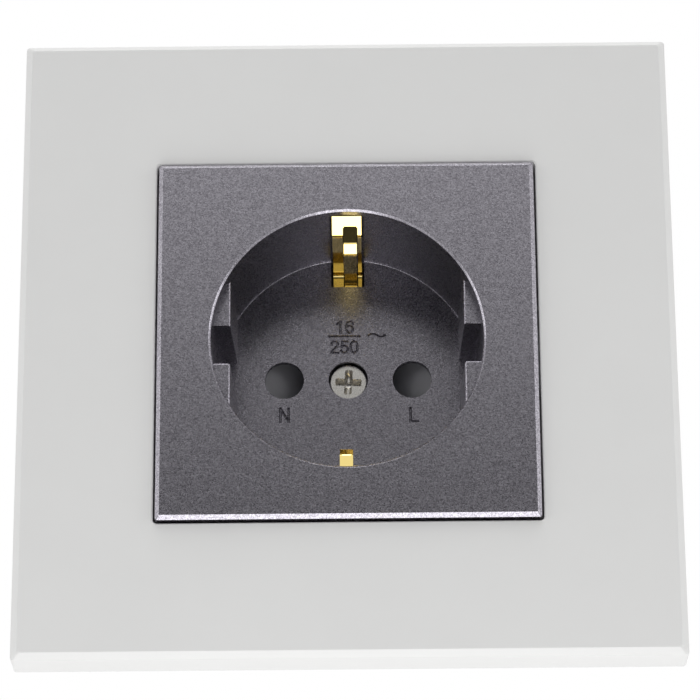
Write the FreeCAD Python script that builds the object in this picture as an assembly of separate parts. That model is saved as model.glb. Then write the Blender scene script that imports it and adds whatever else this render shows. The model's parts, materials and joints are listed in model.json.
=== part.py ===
"""Flush-mounted type F wall socket in its square cover frame.

X runs to the right, Y runs into the wall and Z runs up. The origin is in the wall plane, on the axis of the
plug recess, so what shows in the room has negative Y and what the wall box hides has positive Y.
"""
import FreeCAD, Part
import math
import os

Vector = FreeCAD.Vector
ALONG_X = Vector(1, 0, 0)
ALONG_Y = Vector(0, 1, 0)
ALONG_Z = Vector(0, 0, 1)

# How far a cutting tool runs past the face it opens, and how deep joined bodies reach into each other
past = 1.0
bite = 0.3

# Clearances between pieces: what slides, what drops into its pocket, and a hole round a shank
slide_gap = 0.1
drop_in_gap = 0.2
shank_gap = 0.25

# Cover frame, one white moulding
frame_side = 95.3
frame_depth = 6.78
frame_corner = 0.5
frame_bevel_width = 0.95
frame_bevel_depth = 0.93
frame_face_wall = 2.2
frame_skirt_wall = 2.0
frame_collar_wall = 1.5
frame_ledge_reach = 1.8
frame_ledge_thickness = 2.0
frame_gap = 0.3
frame_rib_wall = 1.0
frame_ribs_per_side = 4
box_screw_head_radius = 3.3
box_screw_head_height = 2.0

# Centre plate and plug recess, one moulding
plate_side = 55.0
plate_proud = 1.02
plate_corner = 0.8
plate_chamfer = 0.6
plate_wall = 2.2
skirt_wall = 1.5
recess_radius = 19.75
recess_draft = 0.45
recess_depth = 17.7
recess_rim_chamfer = 0.3
recess_wall = 1.7
recess_floor = 2.0
cover_rib_wall = 1.0
cover_ribs = 4

# Keys on the left and right of the recess, which turn a plug the right way round
key_set_back = 2.8
key_thickness = 2.75
key_draft = 0.5
key_edge = 0.35
key_notch = 5.9

# Pin holes and the screw that holds the cover
pin_spacing = 19.0
pin_hole_radius = 2.9
pin_hole_wall = 0.9
plug_pin_radius = 2.4
plug_pin_length = 19.0
screw_head_radius = 2.68
screw_head_height = 1.6
screw_head_chamfer = 0.12
screw_head_sunk = 1.0
screw_radius = 1.5
screw_length = 13.0
screw_turn = 3.0
cross_length = 3.9
cross_foot = 3.0
cross_width = 1.05
cross_depth = 1.0
counterbore_gap = 0.25
boss_wall = 0.8
boss_seat = 0.9

# Support ring, pressed from steel sheet
ring_screw_margin = 5.5
ring_sheet = 1.0
ring_corner = 5.0
ring_opening_gap = 0.4
box_screw_spacing = 60.0
box_screw_hole_radius = 1.8
level_slot_length = 10.0
rivet_well_margin = 4.15
rivet_radius = 1.25
rivet_head_radius = 1.9
rivet_head_height = 0.7
rivet_top_radius = 1.3

# Earth bracket, one gilded stamping that makes both earth clips
bracket_sheet = 0.6
bracket_shutter_gap = 0.7
bracket_bend = 0.9
clip_width = 4.3
clip_inset = 1.97
clip_front = 3.12
clip_ramp_start = 5.4
clip_slit = 0.3
clip_root_drop = 3.78
tongue_width = 1.9
upper_tongue_offset = 0.5
tongue_slit = 0.13
tongue_tip = (4.24, 0.47)
tongue_knee = (4.75, -1.43)
tongue_peak = (6.0, -2.68)
tongue_root_drop = 1.58
tongue_bend = 0.5
window_end = 4.2
strap_cup_gap = 0.55
strap_foot_length = 5.0
strap_rivet_inset = 1.9
tail_width = 4.8
tail_slit = 0.25
strap_link = 1.5
clip_slot_gap = 0.35
clip_slot_front = 1.4
clip_channel_bite = 1.15
clip_slot_drop = 2.83

# Shutters behind the pin holes, each pushed back by its own spring
shutter_width = 7.2
shutter_thickness = 4.0
shutter_lap_inner = 3.2
shutter_lap_outer = 3.4
shutter_flat = 0.6
shutter_thin_edge = 1.3
shutter_travel = 5.7
spring_wire = 0.35
spring_radius = 1.25
spring_turns = 4.5
spring_runs_per_turn = 12
spring_wire_sides = 6
spring_seat_wall = 1.05
peg_radius = 0.7
peg_length = 0.9

# Shutter carrier, which also closes the contact chambers
carrier_floor = 1.0
carrier_gap = 0.3
carrier_pin_hole_radius = 3.1

# Insulating base
base_side_wall = 2.55
base_top_wall = 2.35
base_corner_margin = 6.55
base_flange = 5.0
base_well_gap = 0.6
base_wall = 1.9
base_rear_wall = 2.2
base_rear_half_height = 12.5
base_rear_round = 3.0
base_rib_wall = 1.6
base_rib_angles = (-30, 0, 30, 150, 210)
base_core_depth = 9.0
base_core_wall = 1.8
chamber_half_height = 5.6
chamber_lap = 4.3
earth_block_wall = 3.7
wire_entry_radius = 3.05
bush_radius = 2.6
bush_length = 9.0

# Live contacts and their pillar terminals
contact_sheet = 0.8
contact_width = 5.2
contact_squeeze = 0.5
contact_shoulder = 3.0
contact_bend = 0.9
contact_tip_room = 0.6
contact_mouth_flare = 0.9
contact_grip_length = 6.5
contact_mouth_length = 2.2
contact_front_gap = 0.8
contact_tail_width = 4.5
pillar_width = 6.0
pillar_depth = 9.0
pillar_height = 7.0
pillar_wire_radius = 1.75
pillar_side_inset = 6.0
pillar_set_back = 0.8
earth_pillar_width = 7.0
earth_pillar_height = 6.6
terminal_screw_radius = 1.5
terminal_head_radius = 2.6
terminal_head_height = 2.0
terminal_slot_width = 0.8
terminal_slot_depth = 0.9
terminal_screw_backed_out = 0.6

# Places along Y, from the room into the wall box
frame_face = -frame_depth
plate_face = frame_face - plate_proud
ring_front = -ring_sheet
ledge_front = ring_front - frame_ledge_thickness
floor_front = plate_face + recess_depth
floor_rear = floor_front + recess_floor
shutter_roof = floor_front + pin_hole_wall
shutter_front = shutter_roof + slide_gap
shutter_rear = shutter_front + shutter_thickness
bracket_front = floor_rear + slide_gap
bracket_middle = bracket_front + bracket_sheet / 2
bracket_rear = bracket_front + bracket_sheet
guide_floor = shutter_rear + slide_gap
carrier_rear = guide_floor + carrier_floor
head_top = floor_front + screw_head_sunk
head_seat = head_top + screw_head_height
boss_rear = head_seat + boss_seat
pin_tip = floor_front + plug_pin_length
contact_rear = pin_tip + contact_tip_room
chamber_rear = contact_rear + contact_sheet + drop_in_gap
base_rear = chamber_rear + base_rear_wall
pillar_rear = contact_rear - pillar_set_back
pillar_front = pillar_rear - pillar_depth

# Places across the face
opening_half = plate_side / 2 + frame_gap
ledge_half = opening_half - frame_ledge_reach
recess_floor_radius = recess_radius - recess_draft
cup_radius = recess_radius + recess_wall
well_radius = cup_radius + base_well_gap
carrier_radius = well_radius - carrier_gap
key_reach_front = recess_radius - key_thickness
key_reach_floor = key_reach_front - key_draft
pin_x = pin_spacing / 2
shutter_inner = pin_x - shutter_lap_inner
shutter_outer = pin_x + shutter_lap_outer
spring_seat_reach = carrier_radius - spring_seat_wall
spring_axis = guide_floor - spring_radius - spring_wire / 2 - slide_gap
bracket_width = 2 * (shutter_inner - bracket_shutter_gap)
clip_reach = recess_radius - clip_inset
clip_root = clip_reach - clip_root_drop
clip_slot_inner = clip_reach - clip_slot_drop
clip_channel_reach = recess_radius + clip_channel_bite
strap_reach = cup_radius + strap_cup_gap + bracket_sheet / 2
strap_foot = strap_reach + strap_foot_length
strap_rivet_reach = strap_foot - strap_rivet_inset
ring_side = box_screw_spacing + 2 * ring_screw_margin
rivet_circle_radius = well_radius + rivet_well_margin
base_half_width = well_radius + base_side_wall
base_half_height = well_radius + base_top_wall
base_corner_radius = well_radius + base_corner_margin
chamber_inner = pin_x - chamber_lap
pillar_reach = base_half_width - pillar_side_inset
contact_gap = 2 * plug_pin_radius - contact_squeeze
boss_radius = screw_head_radius + counterbore_gap + boss_wall
clamp_screw_y = (pillar_front + pillar_rear) / 2
earth_block_reach = strap_reach + earth_block_wall
earth_pillar_foot = -strap_reach + bracket_sheet / 2
earth_wire_z = earth_pillar_foot + earth_pillar_height / 2


def block(x0, x1, y0, y1, z0, z1):
    """Rectangular solid between two corners."""
    return Part.makeBox(x1 - x0, y1 - y0, z1 - z0, Vector(x0, y0, z0))


def rod_y(radius, y0, y1, x=0.0, z=0.0):
    """Round solid along Y."""
    return Part.makeCylinder(radius, y1 - y0, Vector(x, y0, z), ALONG_Y)


def rod_x(radius, x0, x1, y=0.0, z=0.0):
    """Round solid along X."""
    return Part.makeCylinder(radius, x1 - x0, Vector(x0, y, z), ALONG_X)


def rod_z(radius, z0, z1, x=0.0, y=0.0):
    """Round solid along Z."""
    return Part.makeCylinder(radius, z1 - z0, Vector(x, y, z0), ALONG_Z)


def rounded_outline(half_x, half_z, corner, y):
    """Closed rectangle with round corners, square to Y."""
    edges = []
    for quarter in range(4):
        turn = quarter * 90.0
        wide, tall = (half_x, half_z) if quarter % 2 == 0 else (half_z, half_x)
        start = Vector(wide, 0, tall - corner)
        middle = Vector(wide - corner * (1 - math.sqrt(0.5)), 0, tall - corner * (1 - math.sqrt(0.5)))
        end = Vector(wide - corner, 0, tall)
        following = Vector(-(wide - corner), 0, tall)
        for edge in (Part.Arc(start, middle, end).toShape(), Part.LineSegment(end, following).toShape()):
            edge.rotate(Vector(0, 0, 0), ALONG_Y, -turn)
            edge.translate(Vector(0, y, 0))
            edges.append(edge)
    return Part.Wire(edges)


def rounded_slab(half_x, half_z, corner, y0, y1):
    """Slab with round corners."""
    return Part.Face(rounded_outline(half_x, half_z, corner, y0)).extrude(Vector(0, y1 - y0, 0))


def bevelled_slab(half, corner, bevel_width, bevel_depth, y0, y1):
    """Square slab whose front edge, at y0, is bevelled."""
    front = rounded_outline(half - bevel_width, half - bevel_width, corner, y0)
    shoulder = rounded_outline(half, half, corner, y0 + bevel_depth)
    bevel = Part.makeLoft([front, shoulder], True, True)
    return bevel.fuse(rounded_slab(half, half, corner, y0 + bevel_depth, y1)).removeSplitter()


def prism_z(corners, z0, z1):
    """Upright prism over a polygon of X and Y."""
    points = [Vector(x, y, z0) for x, y in corners]
    return Part.Face(Part.makePolygon(points + points[:1])).extrude(Vector(0, 0, z1 - z0))


def turned(profile):
    """Body of revolution about the Y axis, from corners of radius and Y."""
    points = [Vector(r, y, 0) for r, y in profile]
    return Part.Face(Part.makePolygon(points + points[:1])).revolve(Vector(0, 0, 0), ALONG_Y, 360)


def bent_sheet(path, bend, sheet, x0, x1):
    """Strip of sheet metal that follows a path of Y and Z with round bends, between two places along X."""
    sides = ([], [])
    starts = [None, None]
    for index in range(len(path)):
        here = Vector(0, path[index][0], path[index][1])
        before = Vector(0, path[index - 1][0], path[index - 1][1]) if index > 0 else None
        after = Vector(0, path[index + 1][0], path[index + 1][1]) if index < len(path) - 1 else None
        heading = (here - before).normalize() if before else (after - here).normalize()
        leaving = (after - here).normalize() if after else heading
        turn = heading.y * leaving.z - heading.z * leaving.y
        angle = math.atan2(turn, heading.dot(leaving))
        setback = bend * math.tan(abs(angle) / 2)
        arc_start = here - heading * setback
        arc_end = here + leaving * setback
        centre = arc_start + Vector(0, -heading.z, heading.y) * (bend if angle > 0 else -bend)
        for side, offset in enumerate((-sheet / 2, sheet / 2)):
            first = arc_start + Vector(0, -heading.z, heading.y) * offset
            last = arc_end + Vector(0, -leaving.z, leaving.y) * offset
            if starts[side] is not None:
                sides[side].append(Part.LineSegment(starts[side], first).toShape())
            if abs(angle) > 1e-6:
                radius = (first - centre).Length
                halfway = centre + ((first - centre) + (last - centre)).normalize() * radius
                sides[side].append(Part.Arc(first, halfway, last).toShape())
            starts[side] = last
    ends = [edges[0].Vertexes[0].Point for edges in sides], [edges[-1].Vertexes[-1].Point for edges in sides]
    caps = [Part.LineSegment(pair[0], pair[1]).toShape() for pair in ends]
    outline = Part.Wire(Part.__sortEdges__(sides[0] + sides[1] + caps))
    strip = Part.Face(outline).extrude(Vector(x1 - x0, 0, 0))
    strip.translate(Vector(x0, 0, 0))
    return strip


def mirrored_x(shape):
    """The same piece on the other side, left for right."""
    return shape.mirror(Vector(0, 0, 0), ALONG_X)


def mirrored_z(shape):
    """The same piece on the other side, top for bottom."""
    return shape.mirror(Vector(0, 0, 0), ALONG_Z)


def fused(shapes):
    """One solid from several that meet."""
    return shapes[0].multiFuse(shapes[1:]).removeSplitter()


def cut(shape, tools):
    """A shape with every tool taken out of it."""
    return shape.cut(tools).removeSplitter()


def turned_copies(shape, count, first_angle=0.0):
    """Copies of a shape spread evenly about the recess axis."""
    copies = []
    for number in range(count):
        copy = shape.copy()
        copy.rotate(Vector(0, 0, 0), ALONG_Y, first_angle + number * 360.0 / count)
        copies.append(copy)
    return copies


def make_cover_frame():
    """White frame: bevelled face, hollow back with ribs, and the ledge that the centre plate presses on."""
    half = frame_side / 2
    roof = frame_face + frame_face_wall
    inside = half - frame_skirt_wall
    collar = opening_half + frame_collar_wall
    body = bevelled_slab(half, frame_corner, frame_bevel_width, frame_bevel_depth, frame_face, 0)
    opening = rounded_slab(opening_half, opening_half, plate_corner, frame_face - past, ledge_front)
    ledge_hole = rounded_slab(ledge_half, ledge_half, plate_corner, ledge_front - past, past)
    hollow = rounded_slab(inside, inside, frame_corner, roof, past)
    hollow = hollow.cut(rounded_slab(collar, collar, plate_corner, roof - past, ring_front))
    ring_room = rounded_slab(collar + bite, collar + bite, plate_corner, ring_front, past)
    head_y = ring_front - box_screw_head_height
    slot_play = level_slot_length / 2 - box_screw_hole_radius
    tall_room = block(ledge_half - past, collar + bite, head_y, past,
                      -box_screw_head_radius - slot_play, box_screw_head_radius + slot_play)
    low_room = block(-box_screw_head_radius, box_screw_head_radius, head_y, past,
                     ledge_half - past, collar + bite)
    head_rooms = [tall_room, mirrored_x(tall_room), low_room, mirrored_z(low_room)]
    frame = cut(body, [opening, ledge_hole, hollow, ring_room] + head_rooms)
    ribs = []
    for place in range(frame_ribs_per_side):
        z = -inside + (place + 0.5) * 2 * inside / frame_ribs_per_side
        rib = block(collar - bite, inside + bite, roof - bite, ring_front - slide_gap,
                    z - frame_rib_wall / 2, z + frame_rib_wall / 2)
        ribs += turned_copies(rib, 4)
    return fused([frame] + ribs)


def recess_space():
    """The space of the plug recess, with its draft and its chamfered rim."""
    mouth = recess_radius + recess_rim_chamfer
    return turned([(0, plate_face - past), (mouth, plate_face - past), (mouth, plate_face),
                   (recess_radius, plate_face + recess_rim_chamfer),
                   (recess_floor_radius, floor_front), (0, floor_front)])


def side_keys():
    """The four blocks of the two keys, each a segment of the recess with a notch through its middle."""
    front = plate_face + key_set_back
    outer = cup_radius - recess_wall / 2
    profile = [(key_reach_front + key_edge, front), (outer, front), (outer, floor_front),
               (key_reach_floor, floor_front), (key_reach_front, front + key_edge)]
    key = prism_z(profile, -recess_radius, recess_radius)
    key = key.cut(block(0, outer + past, front - past, floor_front + past, -key_notch / 2, key_notch / 2))
    key = key.common(rod_y(outer, front - past, floor_front + past))
    return [key, mirrored_x(key)]


def make_socket_cover():
    """Centre plate, skirt, recess cup, keys, clip slots, pin holes and screw boss in one moulding."""
    half = plate_side / 2
    under = plate_face + plate_wall
    inner = half - skirt_wall
    plate = bevelled_slab(half, plate_corner, plate_chamfer, plate_chamfer, plate_face, ledge_front)
    plate = plate.cut(rounded_slab(inner, inner, plate_corner, under, ledge_front + past))
    cup = turned([(0, under - bite), (cup_radius, under - bite), (cup_radius, floor_front),
                  (cup_radius - recess_floor / 2, floor_rear), (0, floor_rear)])
    boss = rod_y(boss_radius, floor_rear - bite, boss_rear)
    rib = block(cup_radius - bite, inner + bite, under - bite, ledge_front,
                -cover_rib_wall / 2, cover_rib_wall / 2)
    shell = fused([plate, cup, boss] + turned_copies(rib, cover_ribs))
    shell = fused([shell.cut(recess_space())] + side_keys())
    slot_half = clip_width / 2 + clip_slot_gap
    leg_outside = clip_reach + bracket_sheet + clip_slot_gap
    channel = block(-slot_half, slot_half, plate_face + clip_slot_front, floor_rear + past,
                    clip_slot_inner, clip_channel_reach)
    channel = channel.cut(block(-half, half, floor_front, floor_rear + 2 * past, leg_outside, half))
    track = block(shutter_inner - drop_in_gap, shutter_outer + shutter_travel + drop_in_gap, shutter_roof,
                  floor_rear + past, -shutter_width / 2 - slide_gap, shutter_width / 2 + slide_gap)
    pin_hole = rod_y(pin_hole_radius, floor_front - past, floor_rear + past, pin_x)
    tools = [channel, mirrored_z(channel), track, mirrored_x(track), pin_hole, mirrored_x(pin_hole)]
    tools.append(rod_y(screw_head_radius + counterbore_gap, floor_front - past, head_seat))
    tools.append(rod_y(screw_radius + shank_gap, head_seat - past, boss_rear + past))
    return cut(shell, tools)


def cross_recess():
    """Cutting tool for a cross recess whose blades narrow as they go in."""
    outer = cross_length / 2
    inner = cross_foot / 2
    bottom = head_top + cross_depth
    outline = [(-outer, head_top - past), (outer, head_top - past), (outer, head_top), (inner, bottom),
               (-inner, bottom), (-outer, head_top)]
    blade = prism_z(outline, -cross_width / 2, cross_width / 2)
    return turned_copies(blade, 4, screw_turn)


def make_cover_screw():
    """Pan-headed screw with a cross recess, which pulls the cover against the frame."""
    tip = head_seat + screw_length
    point = screw_radius / 2
    screw = turned([(0, head_top), (screw_head_radius - screw_head_chamfer, head_top),
                    (screw_head_radius, head_top + screw_head_chamfer), (screw_head_radius, head_seat),
                    (screw_radius, head_seat), (screw_radius, tip - point), (point, tip), (0, tip)])
    return cut(screw, cross_recess())


def rivet_places():
    """Where the two rivets join the ring to the base, across a diagonal."""
    reach = rivet_circle_radius * math.sqrt(0.5)
    return [(-reach, reach), (reach, -reach)]


def make_support_ring():
    """Pressed steel ring with round holes above and below and levelling slots left and right."""
    plate = rounded_slab(ring_side / 2, ring_side / 2, ring_corner, ring_front, 0)
    tools = [rod_y(cup_radius + ring_opening_gap, ring_front - past, past)]
    slot_play = level_slot_length / 2 - box_screw_hole_radius
    for side in (-1, 1):
        reach = side * box_screw_spacing / 2
        tools.append(rod_y(box_screw_hole_radius, ring_front - past, past, 0, reach))
        tools.append(rod_y(rivet_radius, ring_front - past, past, 0, side * strap_rivet_reach))
        tools.append(block(reach - box_screw_hole_radius, reach + box_screw_hole_radius,
                           ring_front - past, past, -slot_play, slot_play))
        for z in (-slot_play, slot_play):
            tools.append(rod_y(box_screw_hole_radius, ring_front - past, past, reach, z))
    tools += [rod_y(rivet_radius, ring_front - past, past, x, z) for x, z in rivet_places()]
    return cut(plate, tools)


def rivet(x, z, y0, y1):
    """Rivet with a head at both ends, gripping from y0 to y1."""
    parts = [rod_y(rivet_radius, y0 - bite, y1 + bite, x, z)]
    for y_face, outwards in ((y0, -1), (y1, 1)):
        foot = Vector(x, y_face, z)
        parts.append(Part.makeCone(rivet_head_radius, rivet_top_radius, rivet_head_height, foot,
                                   ALONG_Y * outwards))
    return fused(parts)


def make_ring_rivets():
    """The two rivets between the ring and the base's flange."""
    return Part.makeCompound([rivet(x, z, ring_front, base_flange) for x, z in rivet_places()])


def make_earth_rivets():
    """The two rivets between the ring and the feet of the earth bracket."""
    return Part.makeCompound([rivet(0, z, ring_front, bracket_sheet)
                              for z in (-strap_rivet_reach, strap_rivet_reach)])


def clip_at_top(offset):
    """Earth clip at the top: the wide leg with its lead-in ramp, and the springy tongue cut out of it."""
    half_sheet = bracket_sheet / 2
    ramp_foot = plate_face + clip_ramp_start
    ramp_rise = clip_ramp_start - clip_front
    leg = bent_sheet([(bracket_middle, clip_root), (bracket_middle, clip_reach + half_sheet),
                      (ramp_foot, clip_reach + half_sheet),
                      (ramp_foot - ramp_rise, clip_reach + half_sheet + ramp_rise)],
                     bracket_bend, bracket_sheet, -clip_width / 2, clip_width / 2)
    window_half = tongue_width / 2 + tongue_slit
    window = block(offset - window_half, offset + window_half, plate_face + window_end,
                   bracket_rear + past, clip_root + bite, clip_channel_reach)
    points = [(bracket_middle, clip_root), (bracket_middle, clip_reach - tongue_root_drop + half_sheet)]
    for depth, lift in (tongue_peak, tongue_knee, tongue_tip):
        points.append((plate_face + depth, clip_reach + lift + half_sheet))
    tongue = bent_sheet(points, tongue_bend, bracket_sheet, offset - tongue_width / 2,
                        offset + tongue_width / 2)
    return fused([leg.cut(window), tongue])


def make_earth_bracket():
    """Bracket across the recess, stamped and bent in one piece, with both clips, two feet and the tail."""
    half = bracket_width / 2
    foot_middle = bracket_sheet / 2
    tail_half = tail_width / 2
    arm_inner = tail_half + tail_slit
    link_inner = strap_reach - bracket_bend - strap_link
    arm = bent_sheet([(bracket_middle, clip_root), (bracket_middle, strap_reach), (foot_middle, strap_reach),
                      (foot_middle, strap_foot)], bracket_bend, bracket_sheet, arm_inner, half)
    foot_bridge = block(-arm_inner, arm_inner, 0, bracket_sheet, strap_reach + bracket_bend, strap_foot)
    link = block(-arm_inner, arm_inner, bracket_front, bracket_rear, link_inner, link_inner + strap_link)
    strap = block(-half, half, bracket_front, bracket_rear, -clip_root - bite, clip_root + bite)
    slit_half = clip_width / 2 + clip_slit
    gap = block(-slit_half, slit_half, bracket_front - past, bracket_rear + past, clip_root, clip_root + past)
    strap = cut(strap, [gap, mirrored_z(gap)])
    root = block(-clip_width / 2, clip_width / 2, bracket_front, bracket_rear,
                 clip_root - past, clip_root + bite)
    tail = bent_sheet([(bracket_middle, -link_inner - bite), (bracket_middle, -strap_reach),
                       (pillar_rear, -strap_reach)], bracket_bend, bracket_sheet, -tail_half, tail_half)
    halves = [arm, mirrored_x(arm), foot_bridge, link, root]
    clips = [clip_at_top(upper_tongue_offset), mirrored_z(clip_at_top(0.0))]
    bracket = fused(halves + [mirrored_z(piece) for piece in halves] + clips + [strap, tail])
    holes = [rod_y(boss_radius + drop_in_gap, bracket_front - past, bracket_rear + past)]
    for side in (-1, 1):
        holes.append(rod_y(rivet_radius, -past, bracket_sheet + past, 0, side * strap_rivet_reach))
    holes.append(rod_z(terminal_screw_radius + shank_gap, -strap_reach - past, -strap_reach + past,
                       0, clamp_screw_y))
    return cut(bracket, holes)


def make_shutter():
    """Right-hand shutter: a slider whose ramp turns the push of a pin into a sideways slide."""
    ramp_top = shutter_outer - shutter_flat
    profile = [(shutter_inner, shutter_rear - shutter_thin_edge), (ramp_top, shutter_front),
               (shutter_outer, shutter_front), (shutter_outer, shutter_rear), (shutter_inner, shutter_rear)]
    slider = prism_z(profile, -shutter_width / 2, shutter_width / 2)
    peg = rod_x(peg_radius, shutter_outer - bite, shutter_outer + peg_length, spring_axis)
    return fused([slider, peg])


def make_shutter_spring():
    """Right-hand shutter spring from slider to end wall, with its wire in short straight runs."""
    length = spring_seat_reach - shutter_outer - spring_wire
    runs = round(spring_turns * spring_runs_per_turn)
    points = []
    for end in range(runs + 1):
        angle = 2 * math.pi * end / spring_runs_per_turn
        points.append(Vector(shutter_outer + spring_wire / 2 + length * end / runs,
                             spring_axis + spring_radius * math.sin(angle), spring_radius * math.cos(angle)))
    start = (points[1] - points[0]).normalize()
    outwards = Vector(0, 0, 1)
    corners = []
    for number in range(spring_wire_sides + 1):
        turn = FreeCAD.Rotation(start, 360.0 * number / spring_wire_sides)
        across = start.cross(outwards).normalize() * spring_wire / 2
        corners.append(points[0] + turn.multVec(across))
    return Part.makePolygon(points).makePipeShell([Part.makePolygon(corners)], True, False, 1)


def make_shutter_carrier():
    """Round plate with a guide for each shutter and a channel for the earth bracket."""
    plate = rod_y(carrier_radius, floor_rear, carrier_rear)
    track_half = shutter_width / 2 + slide_gap
    channel_half = bracket_width / 2 + drop_in_gap
    guide = block(shutter_inner - drop_in_gap, spring_seat_reach, floor_rear - past, guide_floor,
                  -track_half, track_half)
    pin_hole = rod_y(carrier_pin_hole_radius, guide_floor - past, carrier_rear + past, pin_x)
    tools = [guide, mirrored_x(guide), pin_hole, mirrored_x(pin_hole)]
    tools.append(block(-channel_half, channel_half, floor_rear - past, bracket_rear + drop_in_gap,
                       -carrier_radius - past, carrier_radius + past))
    tools.append(rod_y(boss_radius + drop_in_gap, floor_rear - past, boss_rear + drop_in_gap))
    tools.append(rod_y(screw_radius + shank_gap, floor_rear, carrier_rear + past))
    peg = rod_x(peg_radius, spring_seat_reach - peg_length, spring_seat_reach + bite, spring_axis)
    return fused([cut(plate, tools), peg, mirrored_x(peg)])


def base_body():
    """Outside of the insulating base, before its wells and chambers are taken out."""
    flange = block(-base_half_width, base_half_width, 0, base_flange, -base_half_height, base_half_height)
    flange = flange.common(rod_y(base_corner_radius, -past, base_flange + past))
    drum_radius = well_radius + base_wall
    drum = rod_y(drum_radius, 0, carrier_rear + base_wall)
    rear = rounded_slab(base_half_width, base_rear_half_height, base_rear_round,
                        base_flange - bite, base_rear)
    pit_half = earth_pillar_width / 2 + drop_in_gap + base_wall
    pit = rounded_slab(pit_half, earth_block_reach / 2, base_wall, base_flange - bite, base_rear)
    pit.translate(Vector(0, 0, -earth_block_reach / 2))
    ribs = []
    for angle in base_rib_angles:
        rib = block(-base_rib_wall / 2, base_rib_wall / 2, base_flange - bite, carrier_rear,
                    well_radius + bite, base_half_height)
        rib.rotate(Vector(0, 0, 0), ALONG_Y, angle)
        ribs.append(rib)
    return fused([flange, drum, rear, pit] + ribs)


def live_chamber():
    """Cutting tools for the right-hand contact chamber, its wire entry, its driver hole and its core."""
    outer = pillar_reach + pillar_width / 2 + drop_in_gap
    chamber = block(chamber_inner, outer, carrier_rear - past, chamber_rear,
                    -chamber_half_height, chamber_half_height)
    driver_hole = rod_x(terminal_head_radius + shank_gap, outer - past, base_half_width + past, clamp_screw_y)
    core_low = chamber_half_height + base_core_wall
    core_high = base_rear_half_height - base_core_wall
    core = block(chamber_inner + base_core_wall, base_half_width - base_rear_round,
                 base_rear - base_core_depth,
                 base_rear + past, core_low, core_high)
    wire_entry = rod_y(wire_entry_radius, chamber_rear - past, base_rear + past, pillar_reach)
    return [chamber, driver_hole, core, mirrored_z(core), wire_entry]


def make_socket_base():
    """Insulating base: the well for the cup, the contact chambers, the wire entries and the screw holes."""
    tools = [rod_y(well_radius, -past, carrier_rear)]
    half = bracket_width / 2 + drop_in_gap
    strap_outside = strap_reach + bracket_sheet / 2 + drop_in_gap
    arm_room = block(-half, half, -past, bracket_rear + slide_gap, 0, strap_outside)
    foot_rear = bracket_sheet + rivet_head_height + drop_in_gap
    foot_room = block(-half, half, -past, foot_rear, 0, strap_foot + past)
    tools += [arm_room, mirrored_z(arm_room), foot_room, mirrored_z(foot_room)]
    for tool in live_chamber():
        tools += [tool, mirrored_x(tool)]
    earth_half = earth_pillar_width / 2 + drop_in_gap
    tools.append(block(-earth_half, earth_half, bracket_front, pillar_rear + drop_in_gap, -strap_outside,
                       earth_pillar_foot + earth_pillar_height + drop_in_gap))
    tools.append(rod_z(terminal_head_radius + shank_gap, -earth_block_reach - past, -strap_outside + past,
                       0, clamp_screw_y))
    tools.append(rod_y(wire_entry_radius, pillar_rear - past, base_rear + past, 0, earth_wire_z))
    tools.append(rod_y(bush_radius, carrier_rear - past, carrier_rear + bush_length))
    tools.append(rod_y(screw_radius + shank_gap, carrier_rear, head_seat + screw_length + past))
    tools += [rod_y(rivet_radius, -past, base_flange + past, x, z) for x, z in rivet_places()]
    return cut(base_body(), tools)


def make_screw_bush():
    """Threaded brass bush in the base that the cover screw goes into."""
    bush = rod_y(bush_radius, carrier_rear, carrier_rear + bush_length)
    return bush.cut(rod_y(screw_radius, carrier_rear - past, carrier_rear + bush_length + past))


def make_contact():
    """Right-hand contact: two sprung leaves that grip the pin, a web, and a tail to the terminal."""
    half_sheet = contact_sheet / 2
    shoulder = contact_shoulder + half_sheet
    pinch = contact_gap / 2 + half_sheet
    web = contact_rear + half_sheet
    front = carrier_rear + contact_front_gap
    leaf = bent_sheet([(web, -bite), (web, shoulder), (web - contact_grip_length, shoulder),
                       (front + contact_mouth_length, pinch), (front, pinch + contact_mouth_flare)],
                      contact_bend, contact_sheet, pin_x - contact_width / 2, pin_x + contact_width / 2)
    tail_rear = web - contact_bend - half_sheet
    tail = block(pin_x, pillar_reach + pillar_width / 2, tail_rear - contact_tail_width, tail_rear,
                 contact_shoulder, contact_shoulder + contact_sheet)
    return fused([leaf, mirrored_z(leaf), tail])


def make_pillar():
    """Right-hand brass pillar terminal, with its wire hole along Y and its screw hole along X."""
    outer = pillar_reach + pillar_width / 2
    pillar = block(outer - pillar_width, outer, pillar_front, pillar_rear, contact_shoulder - pillar_height,
                   contact_shoulder)
    return cut(pillar, [rod_y(pillar_wire_radius, pillar_front - past, pillar_rear + past, pillar_reach),
                        rod_x(terminal_screw_radius, pillar_reach, outer + past, clamp_screw_y)])


def terminal_screw(wall):
    """Slotted clamping screw along X, backed out of a terminal whose wall lies below X = 0."""
    seat = terminal_screw_backed_out
    head = rod_x(terminal_head_radius, seat, seat + terminal_head_height)
    slot = block(seat + terminal_head_height - terminal_slot_depth, seat + terminal_head_height + past,
                 -terminal_slot_width / 2, terminal_slot_width / 2,
                 -terminal_head_radius, terminal_head_radius)
    return head.cut(slot).fuse(rod_x(terminal_screw_radius, slide_gap - wall, seat + bite)).removeSplitter()


def make_terminal_screw():
    """Right-hand clamping screw in its place."""
    screw = terminal_screw(pillar_width / 2 - pillar_wire_radius)
    screw.translate(Vector(pillar_reach + pillar_width / 2, clamp_screw_y, 0))
    return screw


def make_earth_pillar():
    """Brass pillar terminal that stands on the tail of the earth bracket."""
    pillar = block(-earth_pillar_width / 2, earth_pillar_width / 2, pillar_front, pillar_rear,
                   earth_pillar_foot, earth_pillar_foot + earth_pillar_height)
    return cut(pillar, [rod_y(pillar_wire_radius, pillar_front - past, pillar_rear + past, 0, earth_wire_z),
                        rod_z(terminal_screw_radius, earth_pillar_foot - past, earth_wire_z,
                              0, clamp_screw_y)])


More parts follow.
